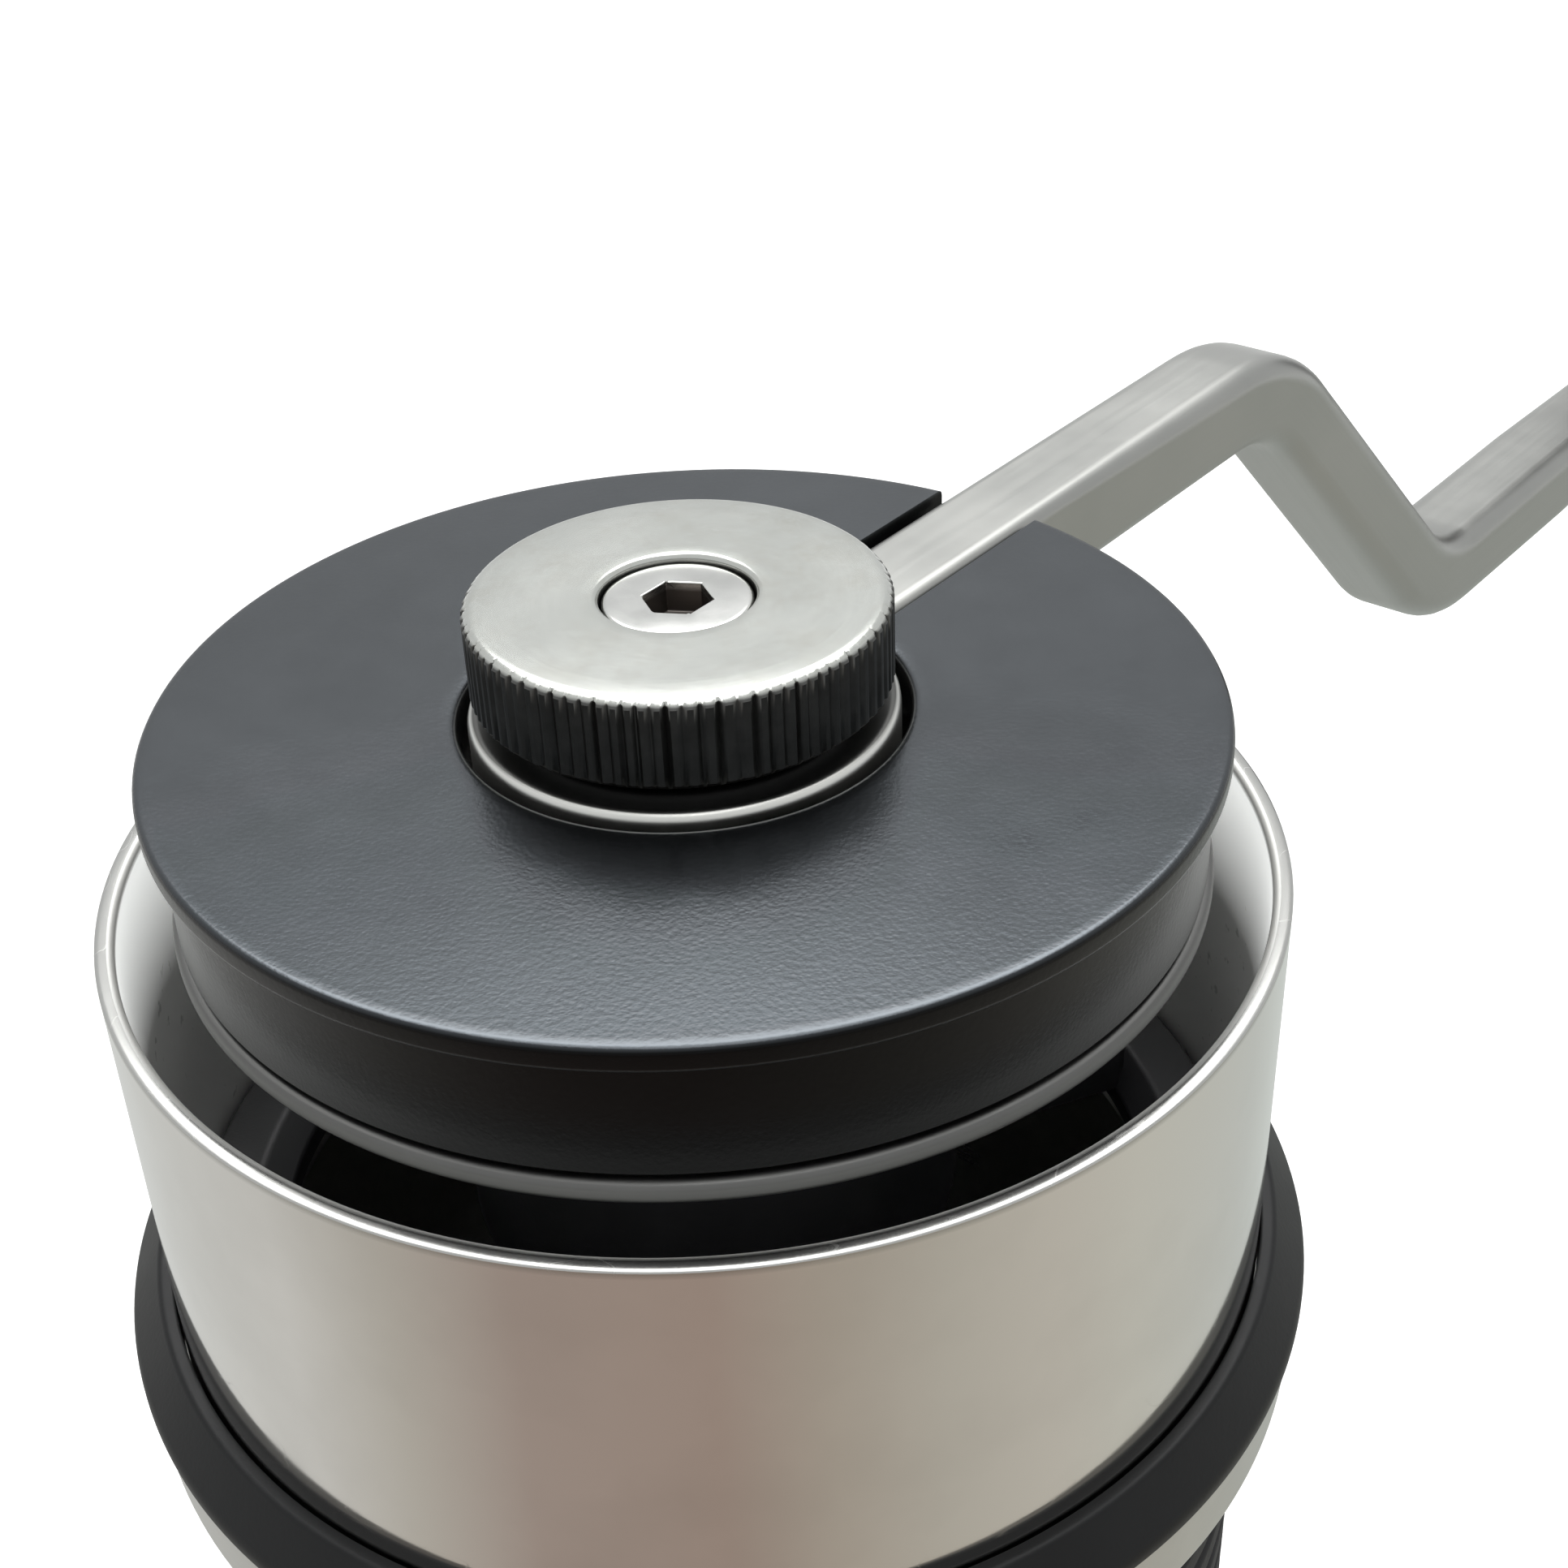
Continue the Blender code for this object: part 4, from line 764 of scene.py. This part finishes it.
def build_hopper(polished, collar_black):
    inner = SHELL.radius - 1.0
    low, rim = SHELL.low, SHELL.high
    corners = [
        (25.6, low), (SHELL.radius, low, 0.3), (SHELL.radius, rim - 0.3, 0.1),
        (SHELL.radius, rim, 0.5), (inner, rim, 0.5), (inner, rim - 0.7, 0.2),
        (inner, low + 1.0, 0.5), (25.6, low + 1.0),
    ]
    turned("hopper_shell", corners, polished, "housing", 256, steps=6)
    inner = SHELL.radius + 0.1
    low, top, wide = COLLAR.low, COLLAR.high, COLLAR.radius
    corners = [
        (inner, low), (wide, low, 0.15), (wide, low + 0.75, 0.35),
        (inner + 0.75, top, 0.25), (inner, top, 0.15),
    ]
    turned("thumb_collar", corners, collar_black, "housing", 256)


def build_body(steel, rubber):
    neck = 27.0
    low, top, wide = BODY.low, BODY.high, BODY.radius
    flange = top - 4.4
    corners = [
        (25.0, low, 0.2), (neck, low, 0.2), (neck, 75.3), (26.2, 75.3), (26.2, 76.5), (neck, 76.5),
        (neck, 77.8), (26.0, 77.8), (26.0, 79.2), (neck, 79.2), (neck, 80.0, 0.1),
        (28.0, 80.0, 0.4), (28.0, flange, 0.8), (wide, flange, 0.5), (wide, top, 0.35), (25.0, top),
    ]
    turned("main_body", corners, steel, "housing", 224)
    inner = SLEEVE.radius - 1.9
    low, top, wide = SLEEVE.low, SLEEVE.high, SLEEVE.radius
    corners = [(inner, low), (wide, low, 1.0)]
    ribs = 17
    pitch = (top - low - 4.0) / ribs
    for k in range(ribs):
        foot = low + 2.0 + k * pitch
        corners += [(wide, foot, 0.2), (wide - 0.55, foot + 0.45, 0.2),
                    (wide - 0.55, foot + 0.8, 0.2), (wide, foot + 1.25, 0.2)]
    corners += [(wide, top, 1.0), (inner, top)]
    turned("grip_sleeve", corners, rubber, "housing", 224, steps=3)


def radial_bar(radius, inner, outer, height, degrees, segments=40, ease=0.2):
    bm = disc(radius, inner, outer, segments, ease)
    rotated(bm, 90, "Y")
    rotated(bm, degrees)
    return moved(bm, (0, 0, height))


def build_bridge(node, look, hub_low, hub_top, race, band, spoke):
    """A bearing bridge: hub, three spokes and outer band, joined into one casting. The spoke
    is given as its reach, its low side and its high side."""
    corners = [
        (8.6, hub_low, 0.2), (13.6, hub_low, 0.4), (13.6, hub_top, 0.8), (11.3, hub_top, 0.2),
        (11.3, race.low - 0.3), (8.6, race.low - 0.3),
    ]
    bridge = made_piece(node + "_look", turned_mesh(eased(corners), 96), look, "housing", node)
    helper(turned_mesh(eased(band), 144), "UNION", bridge)
    for degrees in SPOKE_ANGLES:
        arm = box_mesh((12.2, -2.5, spoke[1]), (spoke[0], 2.5, spoke[2]))
        bmesh.ops.bevel(arm, geom=arm.edges, offset=0.7, segments=3, affect="EDGES")
        helper(rotated(arm, degrees), "UNION", bridge)
    return bridge


def screw_place(degrees):
    turn = math.radians(degrees)
    return SCREW_CIRCLE * math.cos(turn), SCREW_CIRCLE * math.sin(turn)


def build_bridges(look, steel):
    low, top = SHELL.low + 1.3, 147.7
    band = [(24.4, low), (29.1, low, 0.2), (29.1, top, 0.3), (26.0, top, 0.3), (24.4, 146.4, 0.2)]
    upper = build_bridge("hopper_bridge", look, 147.5, 158.0, UPPER_RACE, band,
                         (25.2, 145.6, 152.0))
    for degrees in SCREW_ANGLES:
        helper(moved(disc(1.8, 139, 149), (*screw_place(degrees), 0)), "DIFFERENCE", upper)
    weighted(upper)
    band = [(22.8, 92.0, 0.2), (24.7, 92.0, 0.3), (24.7, 100.0, 0.3), (22.8, 100.0, 0.3)]
    lower = build_bridge("lower_bridge", look, 91.0, 101.0, LOWER_RACE, band, (23.6, 92.4, 99.6))
    for degrees in SPOKE_ANGLES:
        helper(radial_bar(1.8, 18.0, 26.0, LOWER_SCREW_HEIGHT, degrees, 24, 0), "DIFFERENCE", lower)
    weighted(lower)
    for number, degrees in enumerate(SCREW_ANGLES, 1):
        socket_screw(f"hopper_bridge_screw_{number}", steel, "housing", screw_place(degrees),
                     148.0, 149.8, 2.2, 1.5, 140.4, 2.0)
    for number, degrees in enumerate(SPOKE_ANGLES, 1):
        bm = radial_bar(1.5, 19.0, 27.9, LOWER_SCREW_HEIGHT, degrees)
        made_piece(f"lower_bridge_screw_{number}_look", bm, steel, "housing",
                   f"lower_bridge_screw_{number}")
    for number, degrees in enumerate(SCREW_ANGLES, 1):
        bm = radial_bar(1.2, 24.1, 27.7, KEY_PIN_HEIGHT, degrees)
        made_piece(f"key_pin_{number}_look", bm, steel, "housing", f"key_pin_{number}")


def build_bearing(prefix, race, look):
    """Both races of a ball bearing, and its cage with seven balls."""
    low, high = race.low, race.high
    middle = (low + high) / 2
    circle, ball, reach = 7.6, 1.55, 1.85
    for side, first, last, body in (("outer", 40, -40, "housing"), ("inner", 140, 220, "crank")):
        groove = []
        for k in range(13):
            turn = math.radians(first + (last - first) * k / 12)
            groove.append((circle + reach * math.cos(turn), middle + reach * math.sin(turn)))
        edge = groove[0][0]
        far = race.radius if side == "outer" else SHAFT_HOLE
        corners = [(edge, low, 0.1), (far, low, 0.3), (far, high, 0.3), (edge, high, 0.1)] + groove
        turned(f"{prefix}_bearing_{side}_race", corners, look, body, 96)
    cage_low, cage_high = middle - 0.6, middle + 0.6
    corners = [(7.2, cage_low), (8.0, cage_low), (8.0, cage_high), (7.2, cage_high)]
    cage = turned_mesh(eased(corners), 84)
    for k in range(7):
        turn = 2 * math.pi * k / 7
        place = Matrix.Translation((circle * math.cos(turn), circle * math.sin(turn), middle))
        bmesh.ops.create_uvsphere(cage, u_segments=24, v_segments=16, radius=ball, matrix=place)
    made_piece(prefix + "_bearing_balls_look", cage, look, prefix + "_balls",
               prefix + "_bearing_balls")


# ---------------------------------------------------------------- dial, carrier, burrs, cup


def dial_radius(turn, radius, height):
    """Straight knurl on the dial's lower band."""
    if radius < DIAL.radius - 0.1 or height > 71.2 or height < DIAL.low + 1.0:
        return radius
    wave = abs(((turn * 96 / (2 * math.pi)) % 1.0) * 2 - 1)
    return radius - 0.4 * min(1.0, max(0.0, wave * 1.4 - 0.2))


def build_dial(look):
    low, top, wide = DIAL.low, DIAL.high, DIAL.radius
    corners = [
        (25.0, low), (wide, low, 0.5), (wide, low + 1.3), (wide, low + 1.6), (wide, 70.6),
        (wide, 70.9), (wide, 72.0, 0.3), (wide - 1.2, top - 0.4, 0.3), (wide - 1.6, top, 0.2),
        (27.6, top), (27.6, 76.8), (28.2, 76.8), (28.2, 75.0), (27.3, 75.0), (27.3, 73.4),
        (25.0, 73.4),
    ]
    bm = turned_mesh(eased(corners, 3), 768, dial_radius)
    weighted(made_piece("adjustment_dial_look", bm, look, "dial", "adjustment_dial"))


def build_carrier(steel, burr_look, dark, magnet):
    low, top = CARRIER.low, CARRIER.high
    flange_low, flange_top = CUP.high + 0.3, DIAL.low - 0.4
    corners = [
        (21.2, low, 0.3), (25.6, low, 0.3), (25.6, flange_low), (CARRIER.radius, flange_low, 0.3),
        (CARRIER.radius, flange_top, 0.4), (24.7, flange_top), (24.7, top, 0.2), (23.8, top, 0.1),
        (23.8, 63.7), (21.2, 63.7, 0.3),
    ]
    carrier = made_piece("burr_carrier_look", turned_mesh(eased(corners), 192), steel, "carrier",
                         "burr_carrier")
    for degrees in SCREW_ANGLES:
        slot = box_mesh((23.0, -1.6, 79.6), (26.0, 1.6, top + 1))
        helper(rotated(slot, degrees), "DIFFERENCE", carrier)
    weighted(carrier)
    corners = [(21.6, 80.3, 0.2), (23.5, 80.3), (23.5, 82.4, 0.2), (21.6, 82.4, 0.4)]
    turned("burr_retaining_ring", corners, dark, "carrier")
    for number in range(1, 5):
        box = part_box(f"cup_magnet_{number}")
        centre = (box[0] + box[1]) / 2 / MM
        bm = moved(disc(1.25, box[0].z / MM, box[1].z / MM, 32, 0.15), (centre.x, centre.y, 0))
        made_piece(f"cup_magnet_{number}_look", bm, magnet, "carrier", f"cup_magnet_{number}")


def tooth_wave(turn, teeth, twist):
    """A saw-shaped tooth, from 0 at its tip to 1 at its root."""
    phase = ((turn - twist) * teeth / (2 * math.pi)) % 1.0
    return phase / 0.3 if phase < 0.3 else (1 - phase) / 0.7


def build_burrs(look):
    low, high = Span("inner_burr").low, Span("inner_burr").high
    levels = [(SHAFT_HOLE, high), (7.2, high)]
    for k in range(25):
        along = k / 24
        levels.append((9.0 + 11.0 * along ** 0.9, high - 1 + along * (low + 2 - high)))
    levels += [(19.4, low), (SHAFT_HOLE, low)]

    def cone_radius(turn, radius, height):
        if radius < 8.0 or height < low + 0.5:
            return radius
        along = (high - 1 - height) / (high - low - 2)
        coarse = tooth_wave(turn, 7, 1.5 * along) * 2.0 * (1 - along)
        fine = tooth_wave(turn, 42, 1.5 * along) * 0.9 * along
        return radius - coarse - fine

    bm = turned_mesh([Vector(p) for p in levels], 504, cone_radius)
    made_piece("inner_burr_look", bm, look, "crank", "inner_burr")
    outer = Span("outer_burr")
    wall = [(21.0, outer.low), (20.35, 65.7), (18.4, 69.0), (17.9, 72.5), (19.4, 76.0),
            (21.0, outer.high)]
    steps = []
    for (r0, z0), (r1, z1) in zip(wall, wall[1:]):
        steps += [(r0 + (r1 - r0) * k / 5, z0 + (z1 - z0) * k / 5) for k in range(5)]
    levels = steps + [wall[-1], (outer.radius, outer.high), (outer.radius, outer.low)]

    def ring_radius(turn, radius, height):
        if radius > outer.radius - 0.5:
            return radius
        along = (height - outer.low) / (outer.high - outer.low)
        return radius + tooth_wave(-turn, 36, 0.5 * along) * (0.3 + 1.1 * along * (1 - along) * 2)

    bm = turned_mesh([Vector(p) for p in levels], 432, ring_radius)
    made_piece("outer_burr_look", bm, look, "carrier", "outer_burr")


def build_burr_bolt(steel):
    corners = [(0, 61.0), (2.5, 61.0), (2.5, 74.6, 0.3), (0, 74.6)]
    bolt = made_piece("burr_bolt_look", turned_mesh(eased(corners), 48), steel, "crank",
                      "burr_bolt")
    helper(disc(9 / math.sqrt(3), 57.2, 61.3, 6), "UNION", bolt)
    bevelled(bolt, 0.25, 2, 40)
    turned("burr_washer", [(2.8, 61.6), (8.0, 61.6, 0.2), (8.0, 63.0, 0.2), (2.8, 63.0)], steel,
           "crank", 72)


def build_cup(steel, rubber):
    inner, rim = CUP.radius - 1.5, 26.0
    low, top, wide = CUP.low, CUP.high, CUP.radius
    corners = [
        (0, PAD.high + 0.3), (25.3, PAD.high + 0.3), (25.3, low, 0.2), (wide, low, 2.4),
        (wide, 7.6, 0.2), (wide - 0.35, 7.9, 0.15), (wide - 0.35, 8.3, 0.15), (wide, 8.6, 0.2),
        (wide, top, 0.4), (rim, top, 0.3), (rim, 54.2, 0.5), (inner, 52.5, 0.5),
        (inner, 4.0, 2.6), (0, 4.0),
    ]
    turned("catch_cup", corners, steel, "cup", 224, steps=6)
    corners = [(0, PAD.low), (PAD.radius, PAD.low, 0.5), (PAD.radius, PAD.high, 0.2),
               (0, PAD.high)]
    turned("cup_pad", corners, rubber, "cup", 160)


# ---------------------------------------------------------------- knob


def build_knob(look, steel, brass):
    low, high = KNOB.low, KNOB.high
    body = 8.4
    corners = [(5.6, low, 0.2), (7.6, low, 0.4), (body, low + 0.8, 0.4)]
    span = 186.0 - low - 0.8
    steps = 40
    for k in range(1, steps + 1):
        along = k / steps
        swell = math.sin(math.pi * (along ** 1.25) * 0.80)
        corners.append((body + 5.6 * swell * (0.55 + 0.45 * along), low + 0.8 + span * along))
    last = corners[-1][0]
    corners += [(last - 0.5, high - 3.2, 0.6), (last - 1.9, high - 0.9, 0.9), (8.7, high, 0.3),
                (8.7, 188.9), (7.2, 188.9), (7.2, 183.0), (5.6, 183.0)]
    turned("knob_grip", corners, look, "knob", 160, KNOB_X)
    corners = [(0, CAP.low), (CAP.radius, CAP.low, 0.1), (CAP.radius, CAP.high - 0.8, 0.4)]
    for degrees in range(20, 90, 10):
        turn = math.radians(degrees)
        corners.append((CAP.radius * math.cos(turn), CAP.high - 0.7 + 0.7 * math.sin(turn)))
    corners.append((0, CAP.high))
    turned("knob_cap", corners, steel, "knob", 128, KNOB_X)
    foot, top = low + 0.1, low + 8
    corners = [(BUSH_HOLE, foot), (BUSH_RADIUS, foot, 0.2), (BUSH_RADIUS, top, 0.2),
               (BUSH_HOLE, top)]
    turned("knob_bush_lower", corners, brass, "knob", 64, KNOB_X)
    corners = [(BUSH_HOLE, 176.0), (BUSH_RADIUS, 176.0, 0.2), (BUSH_RADIUS, 183.3),
               (6.8, 183.3, 0.2), (6.8, 184.3, 0.2), (BUSH_HOLE, 184.3)]
    turned("knob_bush_upper", corners, brass, "knob", 64, KNOB_X)
    foot, top, wide = SPINDLE.low, SPINDLE.low + 2.7, SPINDLE.radius
    corners = [(0, foot), (wide, foot, 0.9), (wide, top, 0.2), (3.0, top),
               (3.0, SPINDLE.high, 0.4), (0, SPINDLE.high)]
    turned("knob_spindle", corners, steel, "crank", 72, KNOB_X)
    washer = Span("knob_washer", KNOB_X)
    ring("knob_washer", washer, SPINDLE_HOLE, 0.1, brass, "brass", 64, centre_x=KNOB_X)


def build_small_rings(steel, rubber):
    """The pieces that keep their CAD shape, with their finishes."""
    for node, look in (("dial_snap_ring", steel), ("dial_o_ring", rubber), ("wave_washer", steel),
                       ("knob_lock_nut", steel)):
        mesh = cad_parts[node].data
        mesh.materials.clear()
        mesh.materials.append(look)


# ---------------------------------------------------------------- stage


def build_floor():
    made, tree, shader = new_material("floor_finish", 0.0, 0.3)
    cloud = noise(tree, object_place(tree), 3.0, 4.0)
    colour = mixed(tree, cloud, (0.90, 0.90, 0.895, 1), (0.93, 0.93, 0.925, 1))
    connect(tree, shader, colour, spread(tree, cloud, 0.3, 0.7, 0.6, 0.75))
    bm = bmesh.new()
    bmesh.ops.create_grid(bm, x_segments=1, y_segments=1, size=6.0)
    mesh = bpy.data.meshes.new("floor")
    bm.to_mesh(mesh)
    bm.free()
    mesh.materials.append(made)
    floor = bpy.data.objects.new("floor", mesh)
    floor.location.z = -0.0002
    bpy.context.scene.collection.objects.link(floor)


def build_light(name, place, aim, size, radiance, colour=(1, 1, 1)):
    """A soft rectangular light that glows with a given radiance."""
    light = bpy.data.lights.new(name, "AREA")
    light.shape = "RECTANGLE"
    light.size, light.size_y = size
    light.energy = radiance * math.pi * size[0] * size[1]
    light.color = colour
    lamp = bpy.data.objects.new(name, light)
    lamp.location = place
    lamp.rotation_euler = (Vector(aim) - Vector(place)).to_track_quat("-Z", "Y").to_euler()
    bpy.context.scene.collection.objects.link(lamp)


def around(azimuth, elevation, distance):
    """A place seen from the grinder at an azimuth from +X and an elevation, in degrees."""
    turn, rise = math.radians(azimuth), math.radians(elevation)
    level = distance * math.cos(rise)
    return level * math.cos(turn), level * math.sin(turn), 0.17 + distance * math.sin(rise)


def build_reflection_glow_ring():
    """A glowing ring on the table, seen only in reflections, which paints the reflections in the
    hopper's wall. Its tones were fitted to the colours that the hopper's wall mirrors."""
    made = bpy.data.materials.new("reflection_glow_ring_finish")
    made.use_nodes = True
    tree = made.node_tree
    tree.nodes.remove(tree.nodes["Principled BSDF"])
    x, y, z = add(tree, "SeparateXYZ", {0: object_place(tree)}).outputs
    turn = maths(tree, "DIVIDE", maths(tree, "ARCTAN2", y, x), 2 * math.pi)
    turn = maths(tree, "FRACT", maths(tree, "ADD", turn, 1.0))
    ramp = add(tree, "ValToRGB", {0: turn})
    tones = ((0, (0.60, 0.63, 0.60)), (88, (0.66, 0.67, 0.65)), (135, (0.64, 0.63, 0.60)),
             (160, (0.50, 0.47, 0.42)), (185, (0.38, 0.31, 0.27)), (220, (0.37, 0.29, 0.245)),
             (240, (0.43, 0.38, 0.32)), (262, (0.49, 0.46, 0.40)), (285, (0.55, 0.52, 0.46)),
             (305, (0.58, 0.57, 0.51)), (345, (0.56, 0.58, 0.55)), (360, (0.60, 0.63, 0.60)))
    stops = ramp.color_ramp.elements
    while len(stops) < len(tones):
        stops.new(0.5)
    for stop, (degrees, tone) in zip(stops, tones):
        stop.position = degrees / 360
        stop.color = tone + (1,)
    glow = add(tree, "Emission", {"Color": ramp.outputs[0], "Strength": 1.0})
    tree.links.new(glow.outputs[0], tree.nodes["Material Output"].inputs["Surface"])
    bm = turned_mesh([Vector(p) for p in ((70, 0), (900, 0), (900, 1), (70, 1))], 96)
    card = made_piece("reflection_glow_ring", bm, made, None)
    card.location.z = 0.001
    for kind in ("camera", "diffuse", "shadow", "transmission"):
        setattr(card, "visible_" + kind, False)


def build_stage():
    build_floor()
    build_reflection_glow_ring()
    top = (0, 0, 0.17)
    build_light("overhead", (0.30, 0.25, 1.2), (0.30, 0.25, 0), (1.3, 1.3), 2.4)
    build_light("behind", around(42, 58, 1.2), top, (1.2, 0.6), 3.6)
    world = bpy.data.worlds.new("studio")
    bpy.context.scene.world = world
    world.use_nodes = True
    background = world.node_tree.nodes["Background"]
    background.inputs["Color"].default_value = (0.90, 0.91, 0.92, 1)
    background.inputs["Strength"].default_value = 0.8


def build_camera():
    data = bpy.data.cameras.new("camera")
    data.lens = CAMERA_LENS
    data.sensor_width = 36.0
    data.clip_start = 0.005
    camera = bpy.data.objects.new("camera", data)
    camera.location = CAMERA_PLACE
    aim = (CAMERA_AIM - CAMERA_PLACE).to_track_quat("-Z", "Y")
    camera.rotation_mode = "QUATERNION"
    camera.rotation_quaternion = aim @ Quaternion((0, 0, 1), math.radians(CAMERA_ROLL))
    bpy.context.scene.collection.objects.link(camera)
    bpy.context.scene.camera = camera


def build():
    bpy.context.scene.view_settings.view_transform = "Standard"
    build_camera()
    build_stage()
    polished = hopper_steel()
    steel = satin_steel("satin_steel_finish", (0.56, 0.56, 0.54), 0.24, 0.28)
    dark = satin_steel("bearing_steel_finish", (0.42, 0.42, 0.43), 0.20, 0.30)
    burr = satin_steel("burr_steel_finish", (0.34, 0.33, 0.32), 0.30, 0.45)
    dull = satin_steel("dull_steel_finish", (0.16, 0.16, 0.155), 0.30, 0.42)
    magnet = satin_steel("magnet_finish", (0.62, 0.60, 0.55), 0.18, 0.26)
    lid_black = lid_finish()
    collar_black = grained_black("collar_black_finish", (0.005, 0.0053, 0.0056), 0.36, 0.46,
                                 3600.0, 0.000005, specular=0.25)
    rubber = grained_black("rubber_black_finish", (0.010, 0.010, 0.011), 0.55, 0.70,
                           2400.0, 0.00002, specular=0.35)
    knob_black = grained_black("knob_black_finish", (0.016, 0.016, 0.017), 0.30, 0.42,
                               3000.0, 0.000008)
    bridge_black = grained_black("bridge_black_finish", (0.018, 0.018, 0.020), 0.35, 0.45,
                                 4000.0, 0.000006)
    brass = brass_finish()
    build_lid(lid_black, dull)
    build_crank(arm_steel(), nut_steel(), steel, dark)
    build_shaft(steel)
    build_hopper(polished, collar_black)
    build_body(steel, rubber)
    build_bridges(bridge_black, steel)
    build_bearing("upper", UPPER_RACE, dark)
    build_bearing("lower", LOWER_RACE, dark)
    build_dial(dial_steel())
    build_carrier(steel, burr, dark, magnet)
    build_burrs(burr)
    build_burr_bolt(steel)
    build_cup(steel, rubber)
    build_knob(knob_black, steel, brass)
    build_small_rings(steel, rubber)


build()
